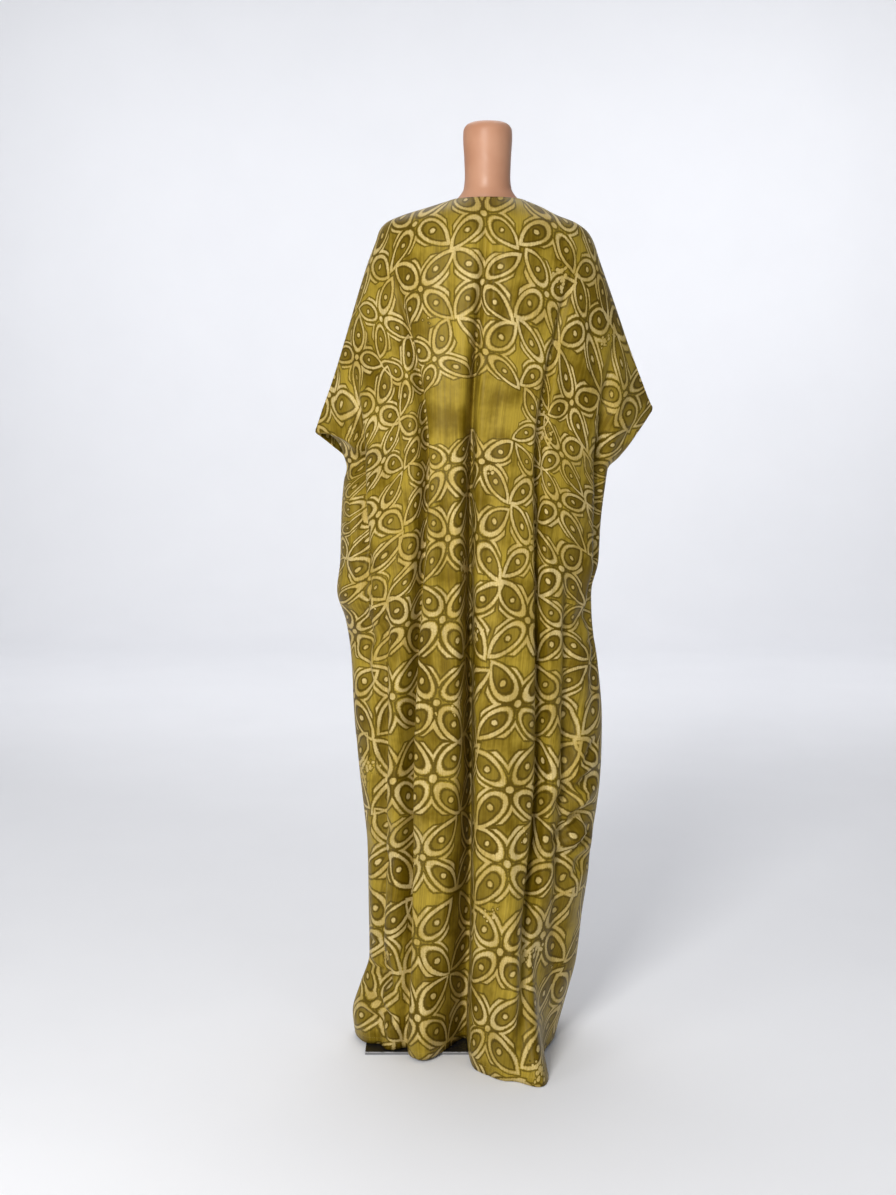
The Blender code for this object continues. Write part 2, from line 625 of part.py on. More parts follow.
def build():
    for old in list(bpy.data.objects):
        bpy.data.objects.remove(old)
    collection = bpy.data.collections.new("grand_boubou_on_dress_form")
    bpy.context.scene.collection.children.link(collection)
    cloth = material("olive batik cotton", (0.250, 0.190, 0.030), 0.62)
    skin = material("tan glass fibre", (0.600, 0.310, 0.190), 0.45)
    black = material("black enamelled steel", (0.012, 0.012, 0.012), 0.30, 0.2)
    steel = material("brushed steel", (0.560, 0.560, 0.560), 0.35, 1.0)
    panel("back_panel", False, cloth, collection)
    panel("front_panel", True, cloth, collection)
    dress_form(skin, collection)
    base_plate(black, collection)
    pole(steel, collection)
    pole_socket(steel, collection)


build()
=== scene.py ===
import math
from collections import namedtuple

import bpy
import numpy as np
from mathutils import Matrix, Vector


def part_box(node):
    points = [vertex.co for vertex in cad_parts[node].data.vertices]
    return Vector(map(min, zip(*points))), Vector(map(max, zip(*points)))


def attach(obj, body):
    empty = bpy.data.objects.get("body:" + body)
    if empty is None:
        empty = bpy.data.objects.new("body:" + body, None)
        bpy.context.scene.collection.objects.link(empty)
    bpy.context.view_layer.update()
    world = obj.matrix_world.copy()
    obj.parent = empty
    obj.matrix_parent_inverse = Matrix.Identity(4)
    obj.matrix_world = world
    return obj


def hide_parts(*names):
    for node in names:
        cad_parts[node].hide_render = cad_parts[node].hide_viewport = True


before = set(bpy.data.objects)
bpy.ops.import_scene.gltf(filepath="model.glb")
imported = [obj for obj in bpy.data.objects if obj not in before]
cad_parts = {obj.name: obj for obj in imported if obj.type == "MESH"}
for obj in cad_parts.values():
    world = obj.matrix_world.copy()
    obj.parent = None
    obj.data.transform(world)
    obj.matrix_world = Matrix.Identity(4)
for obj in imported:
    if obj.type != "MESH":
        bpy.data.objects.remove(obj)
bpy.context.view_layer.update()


# Base plate: a flat plate of cut steel with black enamel, loose on the floor. Its front edge face
# carries a painted highlight, paler in patches along its top, and the enamel shows faint smears.
def new_finish(name):
    """A material with a bare Principled shader: itself, the tree in it and the shader."""
    made = bpy.data.materials.new(name)
    made.use_nodes = True
    return made, made.node_tree, made.node_tree.nodes["Principled BSDF"]


def feed(tree, node, values):
    """Fills a node's inputs, keyed by socket. Each value is a number or a socket to link."""
    for key, value in values.items():
        if isinstance(value, bpy.types.NodeSocket):
            tree.links.new(value, node.inputs[key])
        else:
            node.inputs[key].default_value = value
    return node


def put(tree, kind, values=None, **settings):
    """Adds a node with these settings and fills its inputs."""
    made = tree.nodes.new(kind)
    for name, value in settings.items():
        setattr(made, name, value)
    return feed(tree, made, values or {})


def metres_in(tree):
    return put(tree, "ShaderNodeTexCoord").outputs["Object"]


def calc(tree, operation, *values):
    return put(tree, "ShaderNodeMath", dict(enumerate(values)), operation=operation).outputs[0]


def ramp(tree, value, low, high, to_low=0.0, to_high=1.0):
    """A smooth rise from to_low to to_high while value goes from low to high."""
    ranges = {"Value": value, 1: low, 2: high, 3: to_low, 4: to_high}
    return put(tree, "ShaderNodeMapRange", ranges, interpolation_type="SMOOTHSTEP").outputs[0]


def blend(tree, share, first, second, how="MIX"):
    values = {0: share, 6: first, 7: second}
    return put(tree, "ShaderNodeMix", values, data_type="RGBA", blend_type=how).outputs[2]


def grain(tree, place, scale, detail=2.0, roughness=0.5):
    """Noise at a scale in patches for each metre, or in patches for each unit of place."""
    values = {"Vector": place, "Scale": scale, "Detail": detail, "Roughness": roughness}
    return put(tree, "ShaderNodeTexNoise", values).outputs["Fac"]


def stretched(tree, place, x, y, z=1.0):
    return put(tree, "ShaderNodeMapping", {"Vector": place, "Scale": (x, y, z)}).outputs[0]


def bumps(tree, height, strength, distance):
    values = {"Height": height, "Strength": strength, "Distance": distance}
    return put(tree, "ShaderNodeBump", values).outputs[0]


enamel, tree, shader = new_finish("black enamelled steel")
metres = metres_in(tree)
smears = grain(tree, stretched(tree, metres, 9.0, 30.0), 1.0, 4.0)
place = put(tree, "ShaderNodeSeparateXYZ", {"Vector": metres})
# Painted highlight: the plate's front edge face, towards the camera, is painted grey, and paler
# again in patches along its top millimetre.
highlight_patches = ramp(tree, grain(tree, metres, 60.0, 3.0), 0.40, 0.62)
highlight_top_mm = calc(tree, "MULTIPLY", ramp(tree, place.outputs["Z"], 0.0040, 0.0048), highlight_patches)
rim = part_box("base_plate")[1][1]
near_rim = ramp(tree, place.outputs["Y"], rim - 0.0016, rim - 0.0006)
painted_edge_highlight = calc(tree, "MULTIPLY", near_rim, calc(tree, "ADD", highlight_top_mm, 0.35))
feed(tree, shader, {
    "Base Color": blend(tree, painted_edge_highlight, (0.010, 0.010, 0.011, 1), (0.42, 0.42, 0.43, 1)),
    "Roughness": ramp(tree, smears, 0.35, 0.70, 0.24, 0.44),
    "Specular IOR Level": 0.45,
    "Normal": bumps(tree, grain(tree, metres, 900.0), 0.05, 0.0002),
})
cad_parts["base_plate"].material_slots[0].material = enamel


# Pole and socket: a drawn steel tube, and the turned collar that is screwed to the plate and
# holds it. Both are brushed, the tube along its length and the collar round.
def scratched_steel(name, stretch, dark, light, smooth, rough, depth):
    """Bare steel with fine scratches, drawn out by how much the noise is stretched."""
    finish, tree, shader = new_finish(name)
    scratches = grain(tree, stretched(tree, metres_in(tree), *stretch), 1.0, 3.0)
    feed(tree, shader, {
        "Base Color": blend(tree, scratches, dark, light),
        "Metallic": 1.0,
        "Roughness": ramp(tree, scratches, 0.3, 0.7, smooth, rough),
        "Normal": bumps(tree, scratches, depth, 0.0001),
    })
    return finish


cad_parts["stand_pole"].material_slots[0].material = scratched_steel(
    "brushed steel tube", (2200.0, 2200.0, 14.0),
    (0.42, 0.42, 0.43, 1), (0.68, 0.68, 0.67, 1), 0.26, 0.42, 0.12,
)
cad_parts["pole_socket"].material_slots[0].material = scratched_steel(
    "turned steel collar", (30.0, 30.0, 2600.0),
    (0.40, 0.40, 0.41, 1), (0.66, 0.66, 0.65, 1), 0.24, 0.40, 0.15,
)


# Dress form: a moulded shell of skin-coloured glass fibre without arms, legs or head, sprayed
# satin. It is lofted through rings from the closed hip to the flat top of the neck.
Ring = namedtuple("Ring", "z half back front square")
FORM_RINGS = [Ring(*row) for row in (
    (0.85, 0.104, 0.054, 0.068, 2.0), (0.8535, 0.13, 0.065, 0.084, 2.0),
    (0.864, 0.144, 0.071, 0.092, 2.0), (0.91, 0.152, 0.075, 0.098, 2.1),
    (0.97, 0.145, 0.073, 0.097, 2.1), (1.035, 0.127, 0.068, 0.092, 2.1),
    (1.085, 0.118, 0.067, 0.089, 2.1), (1.145, 0.126, 0.075, 0.101, 2.1),
    (1.205, 0.139, 0.086, 0.118, 2.2), (1.255, 0.149, 0.094, 0.121, 2.2),
    (1.305, 0.157, 0.099, 0.112, 2.2), (1.355, 0.167, 0.098, 0.097, 2.2),
    (1.385, 0.175, 0.094, 0.088, 2.1), (1.405, 0.1785, 0.09, 0.082, 2.0),
    (1.418, 0.1755, 0.086, 0.077, 2.0), (1.432, 0.1645, 0.082, 0.071, 2.0),
    (1.4455, 0.145, 0.077, 0.066, 2.0), (1.4575, 0.1165, 0.072, 0.061, 2.0),
    (1.4715, 0.0875, 0.06, 0.052, 2.0), (1.4835, 0.0585, 0.05, 0.046, 2.0),
    (1.493, 0.048, 0.048, 0.044, 2.0), (1.505, 0.041, 0.044, 0.042, 2.0),
    (1.525, 0.039, 0.043, 0.042, 2.0), (1.555, 0.04, 0.044, 0.044, 2.0),
    (1.59, 0.042, 0.047, 0.046, 2.0), (1.602, 0.0415, 0.046, 0.045, 2.0),
    (1.61, 0.0375, 0.042, 0.041, 2.0), (1.615, 0.029, 0.033, 0.032, 2.0),
    (1.6165, 0.018, 0.02, 0.019, 2.0),
)]
FORM_SIDES = 96
STEPS_BETWEEN_RINGS = 3


def pchip(at, knots, values):
    """Monotone cubic through the knots, so that a table's corners stay where it puts them."""
    order = np.argsort(knots)
    x, y = np.asarray(knots, float)[order], np.asarray(values, float)[order]
    step, rise = np.diff(x), np.diff(y)
    slope = rise / step
    tangent = np.zeros_like(y)
    same = slope[:-1] * slope[1:] > 0
    weight_a = 2 * step[1:] + step[:-1]
    weight_b = step[1:] + 2 * step[:-1]
    inner = np.zeros_like(slope[1:])
    inner[same] = (weight_a + weight_b)[same] / (
        weight_a[same] / slope[:-1][same] + weight_b[same] / slope[1:][same]
    )
    tangent[1:-1] = inner
    tangent[0], tangent[-1] = slope[0], slope[-1]
    place = np.clip(at, x[0], x[-1])
    i = np.clip(np.searchsorted(x, place, side="right") - 1, 0, len(step) - 1)
    h = step[i]
    t = (place - x[i]) / h
    return (
        y[i] * (1 + 2 * t) * (1 - t) ** 2
        + h * tangent[i] * t * (1 - t) ** 2
        + y[i + 1] * t**2 * (3 - 2 * t)
        + h * tangent[i + 1] * t**2 * (t - 1)
    )


def add_object(name, data):
    made = bpy.data.objects.new(name, data)
    bpy.context.scene.collection.objects.link(made)
    return made


def add_piece(name, mesh):
    """A piece of the robe or its stand. None of them moves."""
    piece = add_object(name, mesh)
    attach(piece, "root")
    return piece


def smooth_mesh(name, points, faces, finish):
    mesh = bpy.data.meshes.new(name)
    mesh.from_pydata([tuple(p) for p in points], [], faces)
    mesh.shade_smooth()
    mesh.materials.append(finish)
    return mesh


glass_fibre, tree, shader = new_finish("tan satin glass fibre")
metres = metres_in(tree)
cloudy = grain(tree, metres, 14.0, 3.0)
shares = ramp(tree, cloudy, 0.35, 0.65)
feed(tree, shader, {
    "Base Color": blend(tree, shares, (0.455, 0.222, 0.130, 1), (0.505, 0.262, 0.160, 1)),
    "Roughness": ramp(tree, grain(tree, metres, 40.0), 0.3, 0.7, 0.38, 0.50),
    "Specular IOR Level": 0.40,
    "Normal": bumps(tree, grain(tree, metres, 700.0, 1.0), 0.06, 0.0002),
})

levels = [
    np.linspace(low.z, high.z, STEPS_BETWEEN_RINGS, endpoint=False)
    for low, high in zip(FORM_RINGS, FORM_RINGS[1:])
]
levels = np.concatenate(levels + [[FORM_RINGS[-1].z]])
heights, *sizes = zip(*FORM_RINGS)
spread = {field: pchip(levels, heights, size) for field, size in zip(Ring._fields[1:], sizes)}
turns = 2 * math.pi * np.arange(FORM_SIDES) / FORM_SIDES
cosine, sine = np.cos(turns), np.sin(turns)
points = []
for i, level in enumerate(levels):
    power = 2 / spread["square"][i]
    depth = np.where(sine > 0, spread["back"][i], spread["front"][i])
    x = spread["half"][i] * np.sign(cosine) * abs(cosine) ** power
    y = depth * np.sign(sine) * abs(sine) ** power
    points += list(np.stack([x, y, np.full_like(x, level)], axis=-1))
faces = [
    (r * FORM_SIDES + i, r * FORM_SIDES + (i + 1) % FORM_SIDES,
     (r + 1) * FORM_SIDES + (i + 1) % FORM_SIDES, (r + 1) * FORM_SIDES + i)
    for r in range(len(levels) - 1)
    for i in range(FORM_SIDES)
]
faces.append(tuple(range(FORM_SIDES))[::-1])
faces.append(tuple(range(len(points) - FORM_SIDES, len(points))))
form_shell = add_piece("form_shell", smooth_mesh("form_shell", points, faces, glass_fibre))
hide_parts("dress_form")


# Back panel: a length of batik cotton, 1.5 m long, 1.2 m wide across the sleeves and 0.86 m below
# them. It is sewn to the front along the shoulders, the sleeves' tops and the sides, and hangs
# from the form's shoulders in deep folds.
HALF_WIDTH = 0.60
NECK_FLAT = 0.10  # half of the neck opening, measured flat
SEAM_GAP = 0.0003
NECK_Z, NECK_HALF, FRONT_NECK_DROP = 1.486, 0.062, 0.085
TIP_Z = {"left": 1.090, "right": 1.130}
UNDERARM_Z = {"left": 1.046, "right": 1.028}
ARMHOLE_OPEN = 0.020
WAIST_Z, KNEE_Z = 1.05, 0.55
CLOTH = 0.0010
HEM_CLOTH, HEM_DEPTH = 0.0016, 0.016
MITRE_LIMIT = 0.6
TABLE_COLUMNS, TABLE_ROWS = 300, 301
SECTION_STEPS = 900
FULL_PULL = 0.014  # a fold deeper than this draws a column down to its bottom
LEAST_STEP = 0.4  # columns come no closer than this share of an even step
COLUMNS_A_SIDE = 112
UPPER_ROWS, LOWER_ROWS = 70, 104
SHARED_BELOW = 0.985  # below this both panels have their rows at the same heights
FLOOR_PLATE = {"x": (-0.090, 0.214), "y": (-0.22, 0.10), "thick": 0.005}
HEM_CLEARANCE = 0.0012
MIDDLE_TOP = 1.40  # above this the print's middle line no longer follows the middle fold
FOLDS_FADE, CREASES_FADE = 0.055, 0.018
RUMPLE = 0.0011
SLEEVES_FORWARD, CAUGHT_UP = 0.022, 0.020


def in_mm(kind, *rows):
    """A table's rows, which are written in millimetres here."""
    return [kind(*(size / 1000 for size in row)) for row in rows]


Girth = namedtuple("Girth", "z left right back front")
GIRTHS = in_mm(
    Girth,
    (1486, 62, 62, 60, 50), (1474, 100, 92, 74, 61), (1460, 146, 120, 86, 69),
    (1448, 174, 150, 93, 76), (1434, 186, 171, 100, 83), (1419, 191, 181, 106, 91),
    (1385, 204, 193, 114, 105), (1318, 226, 218, 123, 127), (1249, 247, 243, 129, 140),
    (1181, 269, 270, 133, 143), (1140, 284, 287, 136, 143), (1132, 287, 291, 136, 143),
    (1128, 288.5, 290, 136, 143), (1120, 291, 284.5, 136, 143), (1096, 299.5, 267, 138, 144),
    (1092, 301, 264, 138, 144), (1088, 299.5, 261, 138, 144), (1083, 293.5, 257.5, 138, 144),
    (1067, 274, 246, 139, 145), (1046, 249, 229, 140, 145), (1028, 245, 212, 140, 146),
    (1005, 250, 208, 141, 147), (937, 255, 200, 142, 149), (866, 257, 196, 143, 151),
    (813, 263, 184, 143, 152), (760, 249, 186, 143, 153), (688, 239, 196, 143, 155),
    (580, 233, 207, 142, 158), (508, 226, 205, 141, 161), (435, 218, 199, 140, 164),
    (361, 213, 188, 139, 167), (251, 211, 176, 137, 172), (150, 210, 165, 135, 176),
    (100, 226, 153, 134, 178), (50, 240, 140, 133, 180), (0, 236, 126, 132, 181),
)
Fold = namedtuple("Fold", "start x_waist x_knee x_floor begin waist knee floor half splay")
BACK_FOLDS = in_mm(
    Fold,
    (-400, -198, -184, -118, 1280, 30, 0, 0, 15, 0),
    (-340, -140, -144, -110, 1000, 0, 26, 0, 15, 0),
    (-220, -87, -94, -28, 1440, 26, 40, 30, 9.5, 0), (0, 32, 36, 46, 1480, 44, 88, 96, 10.5, 24),
    (220, 110, 142, 152, 1420, 36, 52, 26, 10.5, 0), (340, 172, 187, 198, 980, 0, 22, 14, 13, 0),
    (420, 224, 212, 222, 1270, 28, 0, 0, 15, 0),
)
Swell = namedtuple("Swell", "x z out half_x half_z")
BACK_SWELLS = in_mm(
    Swell,
    (-38, -60, 140, 35, 270), (14, -20, 30, 24, 200), (106, 0, 22, 28, 100),
    (-30, 600, 14, 35, 350), (85, 800, 10, 35, 400),
)
Buckle = namedtuple("Buckle", "x z length angle deep half")
BACK_BUCKLES = [Buckle(*row) for row in (
    (0.235, 0.84, 0.16, 24, 0.01, 0.016), (0.225, 0.73, 0.15, -22, 0.012, 0.016),
    (0.205, 0.35, 0.12, 30, 0.008, 0.014), (0.2, 0.12, 0.14, -28, 0.014, 0.016),
    (0.205, 0.06, 0.13, -12, 0.012, 0.013), (-0.18, 0.775, 0.13, -28, 0.011, 0.016),
    (-0.175, 0.42, 0.13, 32, 0.013, 0.016), (-0.165, 0.345, 0.12, 18, 0.011, 0.014),
)]
# Creases pressed in, from one end to the other. A negative depth is a soft ridge.
Crease = namedtuple("Crease", "x0 z0 x1 z1 deep half")
BACK_CREASES = in_mm(
    Crease,
    (4, 1486, 10, 1330, 7.5, 4.5), (-4, 1400, 6, 1235, 6, 4.5), (16, 1478, 40, 1180, -3, 10),
    (-14, 1478, -30, 1220, 3, 9), (60, 1440, 78, 1120, 3.5, 12), (-52, 1450, -64, 1150, 3, 11),
    (-126, 1400, -132, 1020, 4.5, 13), (150, 1380, 168, 1060, 4, 13),
    (-168, 1330, -196, 1130, 3.5, 10), (200, 1300, 232, 1140, 3.5, 10), (68, 1060, 74, 640, 5, 11),
    (94, 980, 88, 560, -3.5, 12), (-10, 1100, 2, 700, 4.5, 10), (-40, 1020, -36, 620, 4, 12),
    (-62, 900, -66, 420, -3, 10), (-112, 1000, -118, 640, 4.5, 11), (-160, 960, -166, 700, 5, 11),
    (150, 1000, 160, 700, 4, 11), (205, 960, 200, 800, 4.5, 10), (62, 520, 58, 60, 5.5, 11),
    (92, 480, 84, 20, 4.5, 10), (120, 560, 122, 120, 4, 11), (172, 480, 170, 180, 4.5, 10),
    (-8, 560, -4, 160, 4.5, 11), (-50, 480, -46, 100, 4, 10), (-86, 420, -74, 60, 4.5, 10),
    (-128, 520, -118, 160, 4.5, 11), (-165, 640, -140, 520, 6, 9), (-204, 560, -150, 490, 11, 6.5),
    (-206, 505, -110, 445, 16, 8), (-204, 490, -160, 470, 7, 5), (-190, 530, -130, 480, -6, 8),
    (-190, 470, -120, 415, -8, 8), (-185, 410, -125, 360, -7, 8), (-202, 445, -105, 380, 16, 8),
    (-160, 470, -128, 500, 6, 5.5), (-196, 400, -135, 345, 12, 6.5), (-190, 420, -150, 425, 6.5, 5),
    (-186, 360, -130, 290, 7.5, 7), (-190, 720, -140, 760, 5, 10), (-185, 660, -150, 700, 4, 8),
    (235, 900, 190, 860, 5, 9), (240, 790, 195, 750, 5.5, 9), (235, 700, 190, 650, 4.5, 9),
    (225, 560, 185, 500, 4, 9), (210, 440, 165, 380, 4.5, 9), (218, 190, 165, 150, 8, 6.5),
    (228, 150, 145, 95, 12.5, 7), (236, 105, 155, 55, 12, 6.5), (236, 70, 165, 20, 11, 6),
    (215, 128, 150, 75, -6, 6.5), (200, 120, 165, 150, 5, 5), (262, 1120, 225, 1070, 3.5, 7),
    (250, 1160, 215, 1060, 3, 7), (-262, 1110, -220, 1060, 4, 7), (-255, 1160, -205, 1080, 3.5, 7),
)


def smooth_step(value):
    t = np.clip(value, 0.0, 1.0)
    return t * t * (3 - 2 * t)


def girth(field, z):
    return pchip(z, [g.z for g in GIRTHS], [getattr(g, field) for g in GIRTHS])


def width_at(x, z):
    """Half the robe's width at height z, on the side where x lies."""
    return np.where(x >= 0, girth("left", z), girth("right", z))


def run_along(x, y):
    return np.concatenate([[0.0], np.cumsum(np.hypot(np.diff(x), np.diff(y)))])


def crest(side):
    """The sleeve's top edge, neck to tip: height against flat distance as a share of HALF_WIDTH."""
    z = np.linspace(NECK_Z, TIP_Z[side], 200)
    x = girth(side, z)
    run = run_along(x, z)
    neck = NECK_FLAT / HALF_WIDTH
    return neck + (1 - neck) * run / run[-1], z


CRESTS = {side: crest(side) for side in ("left", "right")}


def top_height(u, front):
    """Height of a column's top end, for u from -1 at the right edge to 1 at the left."""
    z = np.where(u >= 0, np.interp(abs(u), *CRESTS["left"]), np.interp(abs(u), *CRESTS["right"]))
    if front:
        neck = np.clip(abs(u) * HALF_WIDTH / NECK_FLAT, 0, 1)
        z = z - FRONT_NECK_DROP * np.cos(math.pi / 2 * neck) ** 2
    return z


def edge_share(z, side):
    share, height = CRESTS[side]
    return np.interp(-z, -height, share)


def fold_x(fold, z, front):
    start = fold.start / HALF_WIDTH
    side = "left" if start >= 0 else "right"
    if abs(start) < 1e-9:
        top, x_top = NECK_Z - FRONT_NECK_DROP * front, 0.0
    else:
        top = float(top_height(np.array(start), front))
        x_top = math.copysign(float(girth(side, np.array(top))), start)
        if abs(fold.start) < NECK_FLAT:
            x_top *= math.sin(math.pi / 2 * abs(fold.start) / NECK_FLAT)
    return pchip(z, [top, WAIST_Z, KNEE_Z, 0.0], [x_top, fold.x_waist, fold.x_knee, fold.x_floor])


def fold_depth(fold, z):
    full = np.interp(z, [0.0, KNEE_Z, WAIST_Z], [fold.floor, fold.knee, fold.waist])
    return full * smooth_step((fold.begin - z) / max(fold.begin - WAIST_Z, 0.22))


def neck_share(z, front):
    """The share of HALF_WIDTH that the neck opening takes at height z."""
    drop = np.clip((NECK_Z - z) / FRONT_NECK_DROP, 0, 1) if front else np.ones_like(z)
    return NECK_FLAT / HALF_WIDTH * np.arccos(np.sqrt(drop)) / (math.pi / 2)


def middle_turn(z, folds, front, highest=NECK_Z):
    """Where the middle fold lies round the section at height z."""
    middle = next(fold for fold in folds if fold.start == 0.0)
    x = float(fold_x(middle, min(z, highest), front))
    return math.asin(x / float(width_at(x, z)))


def middle_angle(z, folds, front, sign):
    """Where one side of a section starts: at the middle fold, or at the neckline above that."""
    side = "left" if sign > 0 else "right"
    drop = (NECK_Z - z) / FRONT_NECK_DROP
    if front and drop < 1:
        across = NECK_HALF / float(girth(side, z)) * math.sqrt(1 - drop**2)
        return sign * math.asin(min(across, 1.0))
    return middle_turn(z, folds, front)


def column_lengths(z, folds, front, sign, angles, run):
    """One side of a section, from the middle out: columns' shares and lengths along the cloth.
    Where a fold is deep its own column is drawn to its bottom. The others lie evenly."""
    side = "left" if sign > 0 else "right"
    width = float(girth(side, z))
    first, last = float(neck_share(np.array(z), front)), float(edge_share(z, side))
    near = np.interp(middle_angle(z, folds, front, sign), angles, run)
    far = run[-1] if sign > 0 else run[0]
    shares, lengths = [first], [near]
    for fold in sorted((f for f in folds if sign * f.start > 0), key=lambda f: abs(f.start)):
        share = abs(fold.start) / HALF_WIDTH
        if first < share < last:
            even = near + (far - near) * (share - first) / (last - first)
            turn = math.asin(min(max(float(fold_x(fold, z, front)) / width, -0.985), 0.985))
            pull = smooth_step(fold_depth(fold, z) / FULL_PULL)
            shares.append(share)
            lengths.append(even + pull * (np.interp(turn, angles, run) - even))
    shares, lengths = np.array(shares + [last]), np.array(lengths + [far])
    least = LEAST_STEP * (far - near) * np.diff(shares) / max(last - first, 1e-9)
    for i in range(1, len(shares) - 1):
        lengths[i] = sign * max(sign * lengths[i], sign * (lengths[i - 1] + least[i - 1]))
    for i in range(len(shares) - 2, 0, -1):
        lengths[i] = sign * min(sign * lengths[i], sign * (lengths[i + 1] - least[i]))
    return shares, lengths


def armhole_gap(z, side):
    """Half of the distance between the front's and the back's free edges."""
    t = (TIP_Z[side] - z) / (TIP_Z[side] - UNDERARM_Z[side])
    return ARMHOLE_OPEN * np.sin(math.pi * np.clip(t, 0, 1))


def buckle_depth(buckle, x, z):
    turn = math.radians(buckle.angle)
    along = (x - buckle.x) * math.cos(turn) + (z - buckle.z) * math.sin(turn)
    across = (z - buckle.z) * math.cos(turn) - (x - buckle.x) * math.sin(turn)
    taper = smooth_step(1.25 - 2.5 * abs(along) / buckle.length)
    return buckle.deep * taper * np.exp(-((across / buckle.half) ** 2))


def crease_depth(crease, x, z):
    """How deep a listed crease is at x and z: a soft trough that dies out at both its ends."""
    run_x, run_z = crease.x1 - crease.x0, crease.z1 - crease.z0
    length = math.hypot(run_x, run_z)
    along = ((x - crease.x0) * run_x + (z - crease.z0) * run_z) / length**2
    across = ((x - crease.x0) * run_z - (z - crease.z0) * run_x) / length
    sway = 0.35 * crease.half * np.sin(along * 7.0 + crease.x0 * 90)
    ends = smooth_step(along * 3.2) * smooth_step((1 - along) * 3.2)
    return crease.deep * ends * np.exp(-(((across + sway) / crease.half) ** 2))


def section_point(angle, z, front, fine):
    """The outer face at an angle round the section at height z, as x and y."""
    folds, swells, buckles, creases = CUTS[front]
    width = width_at(angle, z)
    depth = girth("front" if front else "back", z)
    gap = np.where(angle >= 0, armhole_gap(z, "left"), armhole_gap(z, "right"))
    wing = 1 + 0.9 * smooth_step((z - 0.98) / 0.10) * smooth_step((1.40 - z) / 0.20)
    sine, cosine = np.sin(angle), np.maximum(np.cos(angle), 1e-6)
    x = width * sine
    y = gap + (depth - gap) * cosine**wing
    normal_x = (depth - gap) * wing * cosine ** (wing - 1) * sine
    normal_y = width * cosine
    length = np.hypot(normal_x, normal_y)
    out = np.zeros_like(x)
    for fold in folds:
        x_fold = fold_x(fold, z, front)
        centre = np.arcsin(np.clip(x_fold / width_at(x_fold, z), -0.985, 0.985))
        speed = np.hypot(width * np.cos(centre), depth * np.sin(centre))
        half = fold.half * (1.25 - 0.55 * np.clip(z / 1.30, 0, 1))
        half = half + np.where(angle > centre, fold.splay * smooth_step(1 - z / KNEE_Z), 0)
        out = out - fold_depth(fold, z) * np.exp(-((speed * (angle - centre) / half) ** 2))
    for swell in swells:
        ratio = ((x - swell.x) / swell.half_x) ** 2 + ((z - swell.z) / swell.half_z) ** 2
        out = out + swell.out * np.exp(-ratio)
    for buckle in buckles:
        out = out - buckle_depth(buckle, x, z)
    from_edge = (math.pi / 2 - abs(angle)) * depth
    out = out * smooth_step(from_edge / FOLDS_FADE)
    if fine:
        free = smooth_step((1.475 - z) / 0.05) * 0.8 + 0.2
        pressed = sum(crease_depth(crease, x, z) for crease in creases)
        rumple = RUMPLE * np.sin(x * 88 + 2.1 * np.sin(z * 5.1)) * np.sin(z * 7.3 + x * 19)
        out = out + free * (rumple - pressed) * smooth_step(from_edge / CREASES_FADE)
    x = x + out * normal_x / length
    y = np.maximum(y + out * normal_y / length, 0.15 * from_edge) + SEAM_GAP / 2
    return x, (-y if front else y)


SECTION_ANGLES = np.linspace(-math.pi / 2, math.pi / 2, SECTION_STEPS + 1)
TABLE_LEVELS = np.linspace(0, NECK_Z, TABLE_ROWS)


def section_run(z, front):
    """How far along the cloth each of SECTION_ANGLES lies at height z."""
    return run_along(*section_point(SECTION_ANGLES, np.full_like(SECTION_ANGLES, z), front, False))


def angle_tables(front):
    """For each side, the angles of evenly spaced columns at evenly spaced heights."""
    tables = {"left": [], "right": []}
    for z in TABLE_LEVELS:
        run = section_run(z, front)
        for side, sign in (("left", 1), ("right", -1)):
            shares, lengths = column_lengths(z, CUTS[front][0], front, sign, SECTION_ANGLES, run)
            even = np.linspace(shares[0], shares[-1], TABLE_COLUMNS + 1)
            tables[side].append(np.interp(np.interp(even, shares, lengths), run, SECTION_ANGLES))
    return {side: np.array(rows) for side, rows in tables.items()}


def look_up(table, z, out):
    """Reads a table of TABLE_LEVELS at height z, out columns from its first, between its values."""
    up = np.clip(z / NECK_Z * (TABLE_ROWS - 1), 0, TABLE_ROWS - 1 - 1e-6)
    i, j = up.astype(int), np.minimum(out.astype(int), table.shape[1] - 2)
    s, t = up - i, out - j
    low = table[i, j] * (1 - t) + table[i, j + 1] * t
    high = table[i + 1, j] * (1 - t) + table[i + 1, j + 1] * t
    return low * (1 - s) + high * s


def column_angle(u, z, front, tables):
    """Where column u crosses height z: 0 at the middle back or front, a right angle at a side."""
    angle = np.zeros_like(z)
    for side, mine in (("left", u >= 0), ("right", u < 0)):
        first, last = neck_share(z, front), edge_share(z, side)
        share = (abs(u) - first) / np.maximum(last - first, 1e-9)
        out = np.clip(share, 0, 1) * TABLE_COLUMNS
        angle = np.where(mine, look_up(tables[side], z, out), angle)
    return angle


def cloth_point(u, z, front, tables, fine):
    x, y = section_point(column_angle(u, z, front, tables), z, front, fine)
    return np.stack([x, y, z], axis=-1)


def settle(points):
    """Bends the whole robe a little: sleeves hang forward, and the side seams wander."""
    x, y, z = points[..., 0], points[..., 1], points[..., 2]
    sleeve = smooth_step((abs(x) - 0.195) / 0.11) * smooth_step((z - 0.95) / 0.15)
    side = smooth_step((abs(x) - 0.06) / 0.06) * smooth_step((0.95 - z) / 0.15)
    phase = np.where(x > 0, 0.6, 2.4)
    wander = 0.010 * np.sin(z / 0.43 * 2 * math.pi + phase)
    wander = wander + 0.006 * np.sin(z / 0.19 * 2 * math.pi - phase)
    moved = points.copy()
    moved[..., 1] = y - SLEEVES_FORWARD * sleeve + wander * side
    return moved


